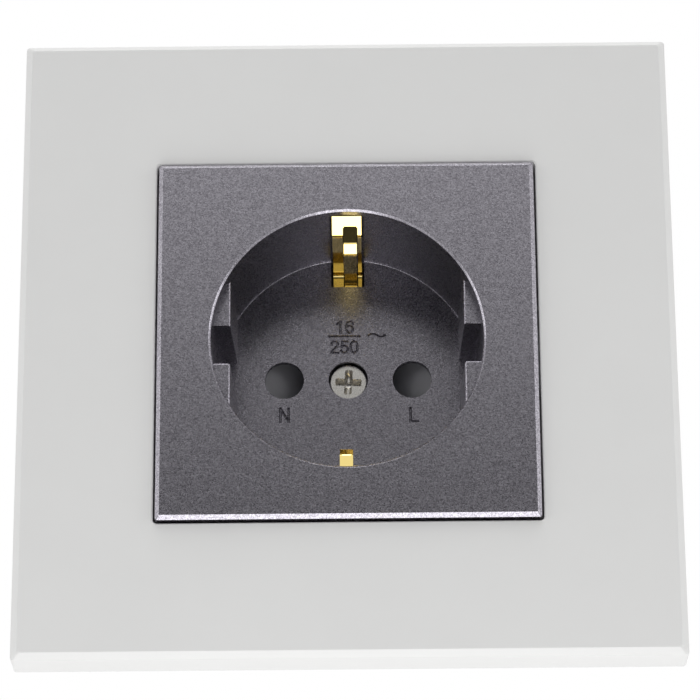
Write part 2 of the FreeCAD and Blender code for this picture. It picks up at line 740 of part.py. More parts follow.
def make_earth_screw():
    """Clamping screw of the earth terminal, driven from below through the bracket's tail."""
    screw = terminal_screw(earth_pillar_height / 2 - pillar_wire_radius)
    screw.rotate(Vector(0, 0, 0), ALONG_Y, 90)
    screw.translate(Vector(0, clamp_screw_y, earth_pillar_foot))
    return screw


def all_pieces():
    """Every piece by its name."""
    shutter = make_shutter()
    spring = make_shutter_spring()
    contact = make_contact()
    pillar = make_pillar()
    clamp_screw = make_terminal_screw()
    return {
        "cover_frame": make_cover_frame(),
        "socket_cover": make_socket_cover(),
        "cover_screw": make_cover_screw(),
        "support_ring": make_support_ring(),
        "ring_rivets": make_ring_rivets(),
        "earth_bracket": make_earth_bracket(),
        "earth_rivets": make_earth_rivets(),
        "shutter_left": mirrored_x(shutter),
        "shutter_right": shutter,
        "shutter_spring_left": mirrored_x(spring),
        "shutter_spring_right": spring,
        "shutter_carrier": make_shutter_carrier(),
        "socket_base": make_socket_base(),
        "screw_bush": make_screw_bush(),
        "contact_neutral": mirrored_x(contact),
        "contact_line": contact,
        "terminal_neutral": mirrored_x(pillar),
        "terminal_line": pillar,
        "terminal_earth": make_earth_pillar(),
        "terminal_screw_neutral": mirrored_x(clamp_screw),
        "terminal_screw_line": clamp_screw,
        "terminal_screw_earth": make_earth_screw(),
    }


os.makedirs("parts", exist_ok=True)
for name, shape in all_pieces().items():
    shape.exportStep(f"parts/{name}.step")
    box = shape.BoundBox
    print(f"{name}: {len(shape.Solids)} solid, valid {shape.isValid()}, {shape.Volume:.1f} mm3, "
          f"x {box.XMin:.2f} {box.XMax:.2f}, y {box.YMin:.2f} {box.YMax:.2f}, "
           f"z {box.ZMin:.2f} {box.ZMax:.2f}")
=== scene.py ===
"""Looks of a flush-mounted type F wall socket in its square cover frame.

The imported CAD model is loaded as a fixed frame. The mouldings, the sheet metal and the screws are then made
again with their small rounds, engraved marks and threads, in millimetres in the frame's own axes: X to the
right, Y into the wall and Z up. Every piece gets a finish that is worked out from the real material.
"""
from __future__ import annotations

import json
import logging
import math
from dataclasses import dataclass, field
from enum import Enum
from typing import Any, Iterable, Sequence

import bmesh
import bpy
from mathutils import Matrix, Vector

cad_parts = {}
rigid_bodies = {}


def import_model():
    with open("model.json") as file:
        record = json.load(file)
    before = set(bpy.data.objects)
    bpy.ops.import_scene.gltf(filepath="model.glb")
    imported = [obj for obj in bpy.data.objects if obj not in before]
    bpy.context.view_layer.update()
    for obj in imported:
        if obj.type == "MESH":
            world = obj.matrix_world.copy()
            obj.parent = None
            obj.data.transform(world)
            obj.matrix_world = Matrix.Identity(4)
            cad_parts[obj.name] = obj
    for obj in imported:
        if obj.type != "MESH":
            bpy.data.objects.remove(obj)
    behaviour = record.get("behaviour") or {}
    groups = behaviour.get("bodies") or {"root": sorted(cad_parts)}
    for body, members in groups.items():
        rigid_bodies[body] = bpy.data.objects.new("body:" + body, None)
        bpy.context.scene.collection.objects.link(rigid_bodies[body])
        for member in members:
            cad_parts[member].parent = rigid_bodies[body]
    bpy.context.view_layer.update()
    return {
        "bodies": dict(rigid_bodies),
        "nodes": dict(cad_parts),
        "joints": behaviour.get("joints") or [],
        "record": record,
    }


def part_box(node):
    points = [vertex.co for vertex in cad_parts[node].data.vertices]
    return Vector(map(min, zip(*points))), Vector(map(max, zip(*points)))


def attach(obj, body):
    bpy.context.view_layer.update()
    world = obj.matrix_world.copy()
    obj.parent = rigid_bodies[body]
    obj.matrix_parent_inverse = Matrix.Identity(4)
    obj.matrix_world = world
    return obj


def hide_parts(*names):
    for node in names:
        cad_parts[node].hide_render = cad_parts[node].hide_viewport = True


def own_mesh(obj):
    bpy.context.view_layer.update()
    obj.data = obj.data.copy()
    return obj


log = logging.getLogger("wall_socket")

MILLIMETRE = 0.001

# How far a piece reaches into its neighbour before they are joined, so that no two faces fall together
BITE = 0.3
# How far a cutting solid stands past the faces that it goes through
PAST = 1.0
# Corners closer than this are one, and faces that turn by less than this are level
WELD = 0.0005
LEVEL_DEGREES = 0.5

Pair = tuple[float, float]
Triple = tuple[float, float, float]


class Operation(Enum):
    """What two solids do to each other."""

    JOIN = "UNION"
    CUT = "DIFFERENCE"
    KEEP = "INTERSECT"


class Axis(Enum):
    """Direction in which a solid lies or is mirrored."""

    X = "X"
    Y = "Y"
    Z = "Z"


def filleted(corners: Sequence[Triple], steps: int = 5) -> list[Pair]:
    """Rounds the corners of a closed outline.

    Args:
        corners: Place of each corner and the radius of its round, which may be nought.
        steps: Number of short runs in each round.

    Returns:
        The points of the rounded outline, in the same order.
    """
    points: list[Pair] = []
    count = len(corners)
    for index, (u, v, radius) in enumerate(corners):
        here = Vector((u, v))
        if radius <= 0:
            points.append((u, v))
            continue
        towards_last = (Vector(corners[index - 1][:2]) - here).normalized()
        towards_next = (Vector(corners[(index + 1) % count][:2]) - here).normalized()
        half_angle = towards_last.angle(towards_next) / 2
        setback = radius / math.tan(half_angle)
        centre = here + (towards_last + towards_next).normalized() * radius / math.sin(half_angle)
        first = here + towards_last * setback - centre
        last = here + towards_next * setback - centre
        sweep = first.angle_signed(last)
        for step in range(steps + 1):
            turned_arm = first.copy()
            turned_arm.rotate(Matrix.Rotation(-sweep * step / steps, 2))
            points.append(tuple(centre + turned_arm))
    return points


def rounded_square(half_x: float, half_z: float, corner: float, y: float, steps: int = 8) -> list[Vector]:
    """Loop of points round a rectangle with round corners, square to Y.

    Args:
        half_x: Half its width.
        half_z: Half its height.
        corner: Radius of its corners.
        y: Where it lies along Y.
        steps: Number of short runs in each corner.

    Returns:
        The points of the loop.
    """
    loop = []
    for quarter, (side_x, side_z) in enumerate(((1, 1), (-1, 1), (-1, -1), (1, -1))):
        for step in range(steps + 1):
            angle = math.pi / 2 * (quarter + step / steps)
            x = side_x * (half_x - corner) + corner * math.cos(angle)
            z = side_z * (half_z - corner) + corner * math.sin(angle)
            loop.append(Vector((x, y, z)))
    return loop


class Solid:
    """Closed mesh in millimetres that can be joined with others and cut by them."""

    least_corner: float = 0.04

    def __init__(self, points: Iterable[Sequence[float]], faces: Iterable[Sequence[int]]) -> None:
        """Makes the mesh and turns its faces outwards.

        Args:
            points: Corners of the mesh.
            faces: Indices of the corners of each face.
        """
        self.mesh = bpy.data.meshes.new("solid")
        self.mesh.from_pydata([tuple(point) for point in points], [], [tuple(face) for face in faces])
        edit = bmesh.new()
        edit.from_mesh(self.mesh)
        bmesh.ops.recalc_face_normals(edit, faces=edit.faces)
        edit.to_mesh(self.mesh)
        edit.free()

    @classmethod
    def holding(cls, mesh: bpy.types.Mesh) -> "Solid":
        """Solid round a mesh that is already made."""
        made = cls.__new__(cls)
        made.mesh = mesh
        return made

    @classmethod
    def lofted(cls, loops: Sequence[Sequence[Vector]], closed: bool = False) -> "Solid":
        """Skins a row of loops that have as many points each.

        Args:
            loops: The loops, in order.
            closed: Whether the last loop joins the first, instead of both being capped.

        Returns:
            The closed solid.
        """
        count = len(loops[0])
        points = [point for loop in loops for point in loop]
        faces: list[list[int]] = []
        for row in range(len(loops) if closed else len(loops) - 1):
            here, there = row * count, (row + 1) % len(loops) * count
            for place in range(count):
                after = (place + 1) % count
                faces.append([here + place, here + after, there + after, there + place])
        if not closed:
            faces.append(list(range(count)))
            faces.append(list(range(len(points) - count, len(points))))
        return cls(points, faces)

    @classmethod
    def turned(cls, profile: Sequence[Pair], segments: int = 96) -> "Solid":
        """Body of revolution about Y.

        Args:
            profile: Radius and Y of the points from one end of the axis to the other.
            segments: Number of flats round the body.

        Returns:
            The closed solid.
        """
        points: list[Triple] = []
        rows: list[list[int]] = []
        for radius, y in profile:
            if radius < 1e-6:
                rows.append([len(points)] * segments)
                points.append((0.0, y, 0.0))
                continue
            rows.append(list(range(len(points), len(points) + segments)))
            for place in range(segments):
                angle = 2 * math.pi * place / segments
                points.append((radius * math.cos(angle), y, radius * math.sin(angle)))
        faces = []
        for here, there in zip(rows, rows[1:]):
            for place in range(segments):
                after = (place + 1) % segments
                face = [here[place], here[after], there[after], there[place]]
                faces.append(list(dict.fromkeys(face)))
        return cls(points, [face for face in faces if len(face) > 2])

    @classmethod
    def box(cls, x: Pair, y: Pair, z: Pair) -> "Solid":
        """Block between two places along each axis."""
        loops = [[Vector((x[0], place, z[0])), Vector((x[1], place, z[0])),
                  Vector((x[1], place, z[1])), Vector((x[0], place, z[1]))] for place in y]
        return cls.lofted(loops)

    @classmethod
    def along_x(cls, outline: Sequence[Pair], x: Pair) -> "Solid":
        """Prism along X over an outline of Y and Z."""
        return cls.lofted([[Vector((place, a, b)) for a, b in outline] for place in x])

    @classmethod
    def along_z(cls, outline: Sequence[Pair], z: Pair) -> "Solid":
        """Prism along Z over an outline of X and Y."""
        return cls.lofted([[Vector((a, b, place)) for a, b in outline] for place in z])

    @classmethod
    def slab(cls, half: Pair, corner: float, steps_in: Sequence[Pair]) -> "Solid":
        """Slab with round corners, square to Y.

        Args:
            half: Half its width and half its height.
            corner: Radius of its corners.
            steps_in: How far the outline stands in, and where, from the front to the rear.

        Returns:
            The closed solid.
        """
        loops = []
        for inset, y in steps_in:
            kept = max(corner - inset, cls.least_corner)
            loops.append(rounded_square(half[0] - inset, half[1] - inset, kept, y))
        return cls.lofted(loops)

    @classmethod
    def rod(cls, radius: float, span: Pair, axis: Axis = Axis.Y, segments: int = 64) -> "Solid":
        """Round bar.

        Args:
            radius: Its radius.
            span: Where it starts and ends along its axis.
            axis: The axis that it lies along, Y or Z.
            segments: Number of flats round the bar.

        Returns:
            The closed solid.
        """
        start, end = span
        bar = cls.turned([(0, start), (radius, start), (radius, end), (0, end)], segments)
        if axis is Axis.Z:
            return bar.changed(Matrix.Rotation(math.pi / 2, 4, "X"))
        return bar

    @classmethod
    def gathered(cls, solids: Sequence["Solid"]) -> "Solid":
        """Several solids that don't meet, as one."""
        edit = bmesh.new()
        for solid in solids:
            edit.from_mesh(solid.mesh)
        mesh = bpy.data.meshes.new("solid")
        edit.to_mesh(mesh)
        edit.free()
        return cls.holding(mesh)

    def changed(self, matrix: Matrix) -> "Solid":
        """Copy that is moved or turned by a matrix."""
        mesh = self.mesh.copy()
        mesh.transform(matrix)
        if matrix.determinant() < 0:
            mesh.flip_normals()
        return Solid.holding(mesh)

    def moved(self, x: float = 0.0, y: float = 0.0, z: float = 0.0) -> "Solid":
        """Copy in another place."""
        return self.changed(Matrix.Translation((x, y, z)))

    def turned_by(self, degrees: float) -> "Solid":
        """Copy that is turned about Y, clockwise as seen from the room."""
        return self.changed(Matrix.Rotation(math.radians(degrees), 4, "Y"))

    def mirrored(self, axis: Axis) -> "Solid":
        """Copy on the other side of the recess axis."""
        scale = [-1.0 if axis.value == name else 1.0 for name in "XYZ"]
        return self.changed(Matrix.Diagonal((*scale, 1.0)))

    def combined(self, other: "Solid", operation: Operation) -> "Solid":
        """Copy that is joined with another solid, cut by it or kept only inside it.

        Args:
            other: The other solid.
            operation: What is done.

        Returns:
            The new solid.
        """
        scene = bpy.context.scene.collection
        body = bpy.data.objects.new("body", self.mesh)
        tool = bpy.data.objects.new("tool", other.mesh)
        scene.objects.link(body)
        scene.objects.link(tool)
        modifier = body.modifiers.new("combine", "BOOLEAN")
        modifier.operation = operation.value
        modifier.solver = "EXACT"
        modifier.object = tool
        graph = bpy.context.evaluated_depsgraph_get()
        mesh = bpy.data.meshes.new_from_object(body.evaluated_get(graph), depsgraph=graph)
        bpy.data.objects.remove(body)
        bpy.data.objects.remove(tool)
        return Solid.holding(mesh)

    def joined(self, *others: "Solid") -> "Solid":
        """Copy that is joined with others, one after another."""
        result = self
        for other in others:
            result = result.combined(other, Operation.JOIN)
        return result

    def cut(self, *others: "Solid") -> "Solid":
        """Copy that others are taken out of, one after another."""
        result = self
        for other in others:
            result = result.combined(other, Operation.CUT)
        return result

    def softened(self, width: float, degrees: float) -> "Solid":
        """Copy whose sharp edges are rounded.

        Args:
            width: How far each round reaches from its edge.
            degrees: Edges that turn by more than this are rounded.

        Returns:
            The new solid.
        """
        edit = bmesh.new()
        edit.from_mesh(self.mesh)
        bmesh.ops.remove_doubles(edit, verts=edit.verts, dist=WELD)
        bmesh.ops.dissolve_limit(edit, angle_limit=math.radians(LEVEL_DEGREES), verts=edit.verts,
                                 edges=edit.edges)
        sharp = [edge for edge in edit.edges
                 if len(edge.link_faces) == 2 and edge.calc_face_angle(0.0) > math.radians(degrees)]
        bmesh.ops.bevel(edit, geom=sharp, offset=width, segments=2, profile=0.5, affect="EDGES",
                        clamp_overlap=True, loop_slide=True)
        mesh = bpy.data.meshes.new("solid")
        edit.to_mesh(mesh)
        edit.free()
        return Solid.holding(mesh)


def bent_strip(path: Sequence[Pair], bend: float, sheet: float, x: Pair, steps: int = 8) -> Solid:
    """Strip of sheet metal that follows a path with round bends.

    Args:
        path: Places of Y and Z that the middle of the sheet runs through.
        bend: Radius of the bends at the middle of the sheet.
        sheet: Thickness of the sheet.
        x: Where the strip starts and ends along X.
        steps: Number of short runs in each bend.

    Returns:
        The strip.
    """
    near: list[Pair] = []
    far: list[Pair] = []
    for index, place in enumerate(path):
        here = Vector(place)
        arriving = (here - Vector(path[index - 1])).normalized() if index > 0 else None
        leaving = (Vector(path[index + 1]) - here).normalized() if index < len(path) - 1 else arriving
        arriving = arriving or leaving
        turn = math.atan2(arriving.x * leaving.y - arriving.y * leaving.x, arriving.dot(leaving))
        runs = steps if abs(turn) > 1e-6 else 0
        setback = bend * math.tan(abs(turn) / 2)
        side = 1.0 if turn > 0 else -1.0
        centre = here - arriving * setback + Vector((-arriving.y, arriving.x)) * bend * side
        for run in range(runs + 1):
            angle = turn * run / max(runs, 1)
            heading = Vector((arriving.x * math.cos(angle) - arriving.y * math.sin(angle),
                              arriving.x * math.sin(angle) + arriving.y * math.cos(angle)))
            across = Vector((-heading.y, heading.x))
            middle = centre - across * bend * side if runs else here
            near.append(tuple(middle - across * sheet / 2))
            far.append(tuple(middle + across * sheet / 2))
    return Solid.along_x(near + far[::-1], x)


def thread_ridge(radius: float, pitch: float, depth: float, span: Pair, segments: int = 24) -> Solid:
    """Ridge of a screw thread about Y, which tapers out at both ends.

    Args:
        radius: Radius of the ridge's crest.
        pitch: How far it advances in a turn.
        depth: How far it stands above the root.
        span: Where it starts and ends along Y.
        segments: Number of short runs in a turn.

    Returns:
        The ridge as a solid of its own.
    """
    sunk = 0.12
    least_rise = 0.01
    root_half = 0.45
    crest_half = 0.06
    tapers_per_turn = 3.0
    count = int((span[1] - span[0]) / pitch * segments)
    loops = []
    for run in range(count + 1):
        angle = 2 * math.pi * run / segments
        y = span[0] + pitch * run / segments
        nearest_end = min(run, count - run) / segments
        rise = depth * min(1.0, tapers_per_turn * nearest_end) + least_rise
        section = ((-sunk, -root_half), (rise, -crest_half), (rise, crest_half), (-sunk, root_half))
        loop = []
        for out, shift in section:
            reach = radius - depth + out
            loop.append(Vector((reach * math.cos(angle), y + shift * pitch, reach * math.sin(angle))))
        loops.append(loop)
    return Solid.lofted(loops)


def linear(hex_colour: str) -> tuple[float, float, float, float]:
    """Turns an sRGB colour into the linear one that shaders take.

    Args:
        hex_colour: Six hexadecimal digits.

    Returns:
        Red, green, blue and alpha.
    """
    channels = []
    for start in (0, 2, 4):
        value = int(hex_colour[start:start + 2], 16) / 255
        channels.append(value / 12.92 if value <= 0.04045 else ((value + 0.055) / 1.055) ** 2.4)
    return (channels[0], channels[1], channels[2], 1.0)


def add_node(tree: bpy.types.NodeTree, kind: str, settings: dict[str, Any] | None = None,
             links: dict[str, bpy.types.NodeSocket] | None = None) -> bpy.types.Node:
    """Adds a shader node with its settings and links.

    Args:
        tree: The node tree.
        kind: Blender's name of the node.
        settings: Values for its sockets or its own properties, by name.
        links: Sockets of other nodes that feed its inputs, by input name.

    Returns:
        The node.
    """
    node = tree.nodes.new(kind)
    for name, value in (settings or {}).items():
        if isinstance(name, int) or name in node.inputs:
            node.inputs[name].default_value = value
        else:
            setattr(node, name, value)
    for name, socket in (links or {}).items():
        tree.links.new(socket, node.inputs[name])
    return node


@dataclass(frozen=True)
class Pattern:
    """Cloudy pattern of a real size, with how many times finer it is along each axis."""

    size_mm: float
    detail: float = 2.0
    stretch: tuple[float, float, float] = (1.0, 1.0, 1.0)

    def drawn(self, tree: bpy.types.NodeTree, place: bpy.types.NodeSocket) -> bpy.types.NodeSocket:
        """Adds the pattern to a material.

        Args:
            tree: The material's tree.
            place: Socket with the place in the object.

        Returns:
            Socket of the pattern, from nought to one.
        """
        mapping = add_node(tree, "ShaderNodeMapping", {"Scale": self.stretch}, {"Vector": place})
        noise = add_node(tree, "ShaderNodeTexNoise",
                         {"Scale": 1 / (self.size_mm * MILLIMETRE), "Detail": self.detail},
                         {"Vector": mapping.outputs["Vector"]})
        return noise.outputs["Fac"]


@dataclass(frozen=True)
class Relief:
    """Fine relief: how much of it shows, its height, and its pattern where that isn't the colour's."""

    strength: float
    height_mm: float
    pattern: Pattern | None = None


@dataclass(frozen=True)
class Finish:
    """What a surface is made of, and how it varies from place to place.

    With the pattern, the roughness runs by its spread either way. The colour runs between two shades where it
    has them, and is the same all over otherwise.
    """

    name: str = ""
    slot: str = ""
    colour: str = "ffffff"
    shades: tuple[str, str] | None = None
    roughness: float = 0.5
    spread: float = 0.05
    metallic: float = 0.0
    ior: float = 1.5
    pattern: Pattern = Pattern(1.0)
    relief: Relief | None = None

    def patterns(self, tree: bpy.types.NodeTree,
                 place: bpy.types.NodeSocket) -> tuple[bpy.types.NodeSocket, bpy.types.NodeSocket]:
        """Adds the patterns.

        Args:
            tree: The material's tree.
            place: Socket with the place in the object.

        Returns:
            Sockets of the pattern for the colour and of the one for the roughness.
        """
        clouds = self.pattern.drawn(tree, place)
        return clouds, clouds

    def material(self) -> bpy.types.Material:
        """Makes the material.

        Returns:
            The finished material.
        """
        material = bpy.data.materials.new(self.name)
        material.use_nodes = True
        tree = material.node_tree
        tree.nodes.clear()
        place = add_node(tree, "ShaderNodeTexCoord").outputs["Object"]
        tint, polish = self.patterns(tree, place)
        spot = add_node(tree, "ShaderNodeMapRange",
                        {"To Min": self.roughness - self.spread, "To Max": self.roughness + self.spread},
                        {"Value": polish})
        links = {"Roughness": spot.outputs["Result"]}
        if self.shades:
            ramp = add_node(tree, "ShaderNodeValToRGB", links={"Fac": tint})
            for element, shade in zip(ramp.color_ramp.elements, self.shades):
                element.color = linear(shade)
            links["Base Color"] = ramp.outputs["Color"]
        if self.relief:
            height = self.relief.pattern.drawn(tree, place) if self.relief.pattern else tint
            depth = self.relief.height_mm * MILLIMETRE
            bump = add_node(tree, "ShaderNodeBump", {"Strength": self.relief.strength, "Distance": depth},
                            {"Height": height})
            links["Normal"] = bump.outputs["Normal"]
        settings: dict[str, Any] = {"Base Color": linear(self.colour), "Roughness": self.roughness,
                                    "Metallic": self.metallic}
        if self.metallic < 1.0:
            settings["IOR"] = self.ior
        shader = add_node(tree, "ShaderNodeBsdfPrincipled", settings, links)
        add_node(tree, "ShaderNodeOutputMaterial", links={"Surface": shader.outputs["BSDF"]})
        return material


@dataclass(frozen=True)
class MouldedAsa(Finish):
    """White ASA from a finely eroded mould, which gives an even satin white with soft highlights."""

    name: str = "moulded_white_asa"
    slot: str = "white_plastic"
    colour: str = "e4e4e3"
    shades: tuple[str, str] = ("e2e2e1", "e6e6e5")
    roughness: float = 0.38
    spread: float = 0.03
    ior: float = 1.52
    pattern: Pattern = Pattern(14.0, 3.0)
    relief: Relief = Relief(0.25, 0.006, Pattern(0.35))


@dataclass(frozen=True)
class MetallicLacquer(Finish):
    """Graphite lacquer sprayed on ABS. Its aluminium flakes give a fine glitter in a satin grey.

    Real flakes are some 0.03 mm across. They are drawn as coarse as the eye takes a cluster of them for.
    """

    name: str = "sprayed_graphite_lacquer"
    slot: str = "graphite_plastic"
    colour: str = "8f8c94"
    shades: tuple[str, str] = ("6c6970", "b6b3bb")
    roughness: float = 0.3
    spread: float = 0.06
    metallic: float = 1.0
    pattern: Pattern = Pattern(0.4)
    relief: Relief = Relief(0.35, 0.02)
    flake_mm: float = 0.15
    cloud_share: float = 0.32

    def patterns(self, tree: bpy.types.NodeTree,
                 place: bpy.types.NodeSocket) -> tuple[bpy.types.NodeSocket, bpy.types.NodeSocket]:
        """Adds the flakes with faint clouds over them.

        Args:
            tree: The material's tree.
            place: Socket with the place in the object.

        Returns:
            Sockets of the pattern for the colour and of the one for the roughness.
        """
        flakes = add_node(tree, "ShaderNodeTexVoronoi", {"Scale": 1 / (self.flake_mm * MILLIMETRE)},
                          {"Vector": place})
        grey = add_node(tree, "ShaderNodeSeparateColor", links={"Color": flakes.outputs["Color"]})
        clouds = add_node(tree, "ShaderNodeMath", {"operation": "MULTIPLY", 1: self.cloud_share},
                          {0: self.pattern.drawn(tree, place)})
        blend = add_node(tree, "ShaderNodeMath", {"operation": "MULTIPLY_ADD", 1: 1 - self.cloud_share},
                         {0: grey.outputs["Red"], 2: clouds.outputs["Value"]})
        return blend.outputs["Value"], grey.outputs["Green"]


@dataclass(frozen=True)
class SatinNickel(Finish):
    """Steel with satin nickel plating, which gives a warm grey with blurred highlights."""

    name: str = "satin_nickel_plate"
    slot: str = "nickel_screw"
    colour: str = "e5e2dc"
    roughness: float = 0.27
    metallic: float = 1.0
    pattern: Pattern = Pattern(0.12)
    relief: Relief = Relief(0.2, 0.004)


@dataclass(frozen=True)
class ZincPlatedSheet(Finish):
    """Bright zinc plating on pressed steel, which gives a bluish grey with faint clouds."""

    name: str = "zinc_plated_steel"
    slot: str = "zinc_steel"
    colour: str = "bfc3c7"
    shades: tuple[str, str] = ("b4b8bd", "c9ccd0")
    roughness: float = 0.32
    spread: float = 0.08
    metallic: float = 1.0
    pattern: Pattern = Pattern(3.0, 4.0)
    relief: Relief = Relief(0.15, 0.005, Pattern(0.4, 2.0, (1.0, 1.0, 0.15)))


@dataclass(frozen=True)
class GildedStrip(Finish):
    """Gold-plated spring bronze strip, which gives a bright warm yellow with near mirror reflections."""

    name: str = "gold_plated_bronze_strip"
    slot: str = "gilded_steel"
    colour: str = "f0d88a"
    roughness: float = 0.09
    spread: float = 0.03
    metallic: float = 1.0
    pattern: Pattern = Pattern(0.12, 2.0, (1.0, 0.06, 0.06))
    relief: Relief = Relief(0.12, 0.004)


@dataclass(frozen=True)
class MouldedAcetal(Finish):
    """Grey acetal from a polished mould, which gives a smooth waxy sheen."""

    name: str = "moulded_grey_acetal"
    slot: str = "grey_plastic"
    colour: str = "8f8f94"
    shades: tuple[str, str] = ("8b8b90", "949499")
    roughness: float = 0.3
    spread: float = 0.04
    ior: float = 1.48
    pattern: Pattern = Pattern(1.5, 3.0)


@dataclass(frozen=True)
class DrawnSpringWire(Finish):
    """Drawn stainless spring wire, which gives thin bright lines along the wire."""

    name: str = "drawn_spring_wire"
    slot: str = "spring_steel"
    colour: str = "b3b2b0"
    roughness: float = 0.24
    spread: float = 0.06
    metallic: float = 1.0
    pattern: Pattern = Pattern(0.1)


@dataclass(frozen=True)
class MouldedPolyamide(Finish):
    """Glass-filled black polyamide, whose fibres give a dull, faintly mottled black."""

    name: str = "moulded_black_polyamide"
    slot: str = "black_plastic"
    colour: str = "202022"
    shades: tuple[str, str] = ("1b1b1d", "28282b")
    roughness: float = 0.55
    spread: float = 0.08
    ior: float = 1.53
    pattern: Pattern = Pattern(0.6, 5.0, (1.0, 1.0, 0.3))
    relief: Relief = Relief(0.2, 0.01)


@dataclass(frozen=True)
class PressedUrea(Finish):
    """Pale urea compound pressed in a steel mould, which gives a hard warm grey with faint flow marks."""

    name: str = "pressed_pale_urea"
    slot: str = "base_plastic"
    colour: str = "d5d3cc"
    shades: tuple[str, str] = ("cecbc3", "dad8d2")
    roughness: float = 0.36
    spread: float = 0.06
    ior: float = 1.56
    pattern: Pattern = Pattern(6.0, 5.0, (1.0, 0.4, 1.0))
    relief: Relief = Relief(0.15, 0.008, Pattern(0.5))


@dataclass(frozen=True)
class RolledBrass(Finish):
    """Brass strip with the fine lines of the rolls, which give streaked golden highlights."""

    name: str = "rolled_brass_strip"
    slot: str = "brass_strip"
    colour: str = "dbb768"
    shades: tuple[str, str] = ("cfa95a", "e4c27a")
    roughness: float = 0.26
    spread: float = 0.06
    metallic: float = 1.0
    pattern: Pattern = Pattern(0.15, 2.0, (0.1, 0.1, 1.0))
    relief: Relief = Relief(0.2, 0.005)


@dataclass(frozen=True)
class MilledBrass(RolledBrass):
    """Brass block with the lines of the milling cutter, which streak its highlights the other way."""

    name: str = "milled_brass"
    slot: str = "brass_turned"
    colour: str = "dfbd72"
    pattern: Pattern = Pattern(0.2, 2.0, (1.0, 0.1, 0.1))


class Workshop:
    """Turns solids and CAD nodes into finished pieces of the scene."""

    crease_degrees: float = 32.0
    square_to_y: float = 0.99999

    def __init__(self, frame: dict[str, Any]) -> None:
        """Keeps the loaded frame.
        """
        self.frame = frame
        self.made: dict[str, bpy.types.Material] = {}

    def material(self, finish: Finish) -> bpy.types.Material:
        """The material of a finish, made once."""
        if finish.name not in self.made:
            self.made[finish.name] = finish.material()
        return self.made[finish.name]

    def put(self, name: str, solid: Solid, finish: Finish, stands_for: str) -> bpy.types.Object:
        """Adds a solid to the scene as a piece that rides on the socket and replaces a CAD node.

        Args:
            name: Name of the piece.
            solid: Its shape, in millimetres.
            finish: Its finish.
            stands_for: The CAD node that it replaces.

        Returns:
            The new object.
        """
        mesh = solid.mesh.copy()
        mesh.name = name
        mesh.transform(Matrix.Scale(MILLIMETRE, 4))
        mesh.polygons.foreach_set("use_smooth", [True] * len(mesh.polygons))
        mesh.set_sharp_from_angle(angle=math.radians(self.crease_degrees))
        self.keep_flats(mesh)
        mesh.materials.clear()
        mesh.materials.append(self.material(finish))
        piece = bpy.data.objects.new(name, mesh)
        bpy.context.scene.collection.objects.link(piece)
        weighted = piece.modifiers.new("even_shading", "WEIGHTED_NORMAL")
        weighted.keep_sharp = True
        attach(piece, "socket")
        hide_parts(stands_for)
        log.info("%s: %d faces, stands for %s", name, len(mesh.polygons), stands_for)
        return piece

    def keep_flats(self, mesh: bpy.types.Mesh) -> None:
        """Keeps the shading of faces that lie square to Y from leaning towards the rounds beside them.

        Args:
            mesh: The mesh, whose edges round such faces are made sharp.
        """
        edit = bmesh.new()
        edit.from_mesh(mesh)
        for edge in edit.edges:
            level = [abs(face.normal.y) > self.square_to_y for face in edge.link_faces]
            if any(level) and not all(level):
                edge.smooth = False
        edit.to_mesh(mesh)
        edit.free()

    def dress(self, node: str, finish: Finish) -> None:
        """Gives a CAD node that stays its finish.

        Args:
            node: Name of the node.
            finish: The finish.
        """
        shown = self.frame["nodes"][node]
        if not shown.material_slots:
            shown.data.materials.append(None)
        for place in shown.material_slots:
            place.material = self.material(finish)
        log.info("%s: CAD shape kept", node)


def near_and_far(node: str) -> tuple[Vector, Vector]:
    """Lowest and highest corner of a CAD node, in millimetres."""
    low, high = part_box(node)
    return low / MILLIMETRE, high / MILLIMETRE


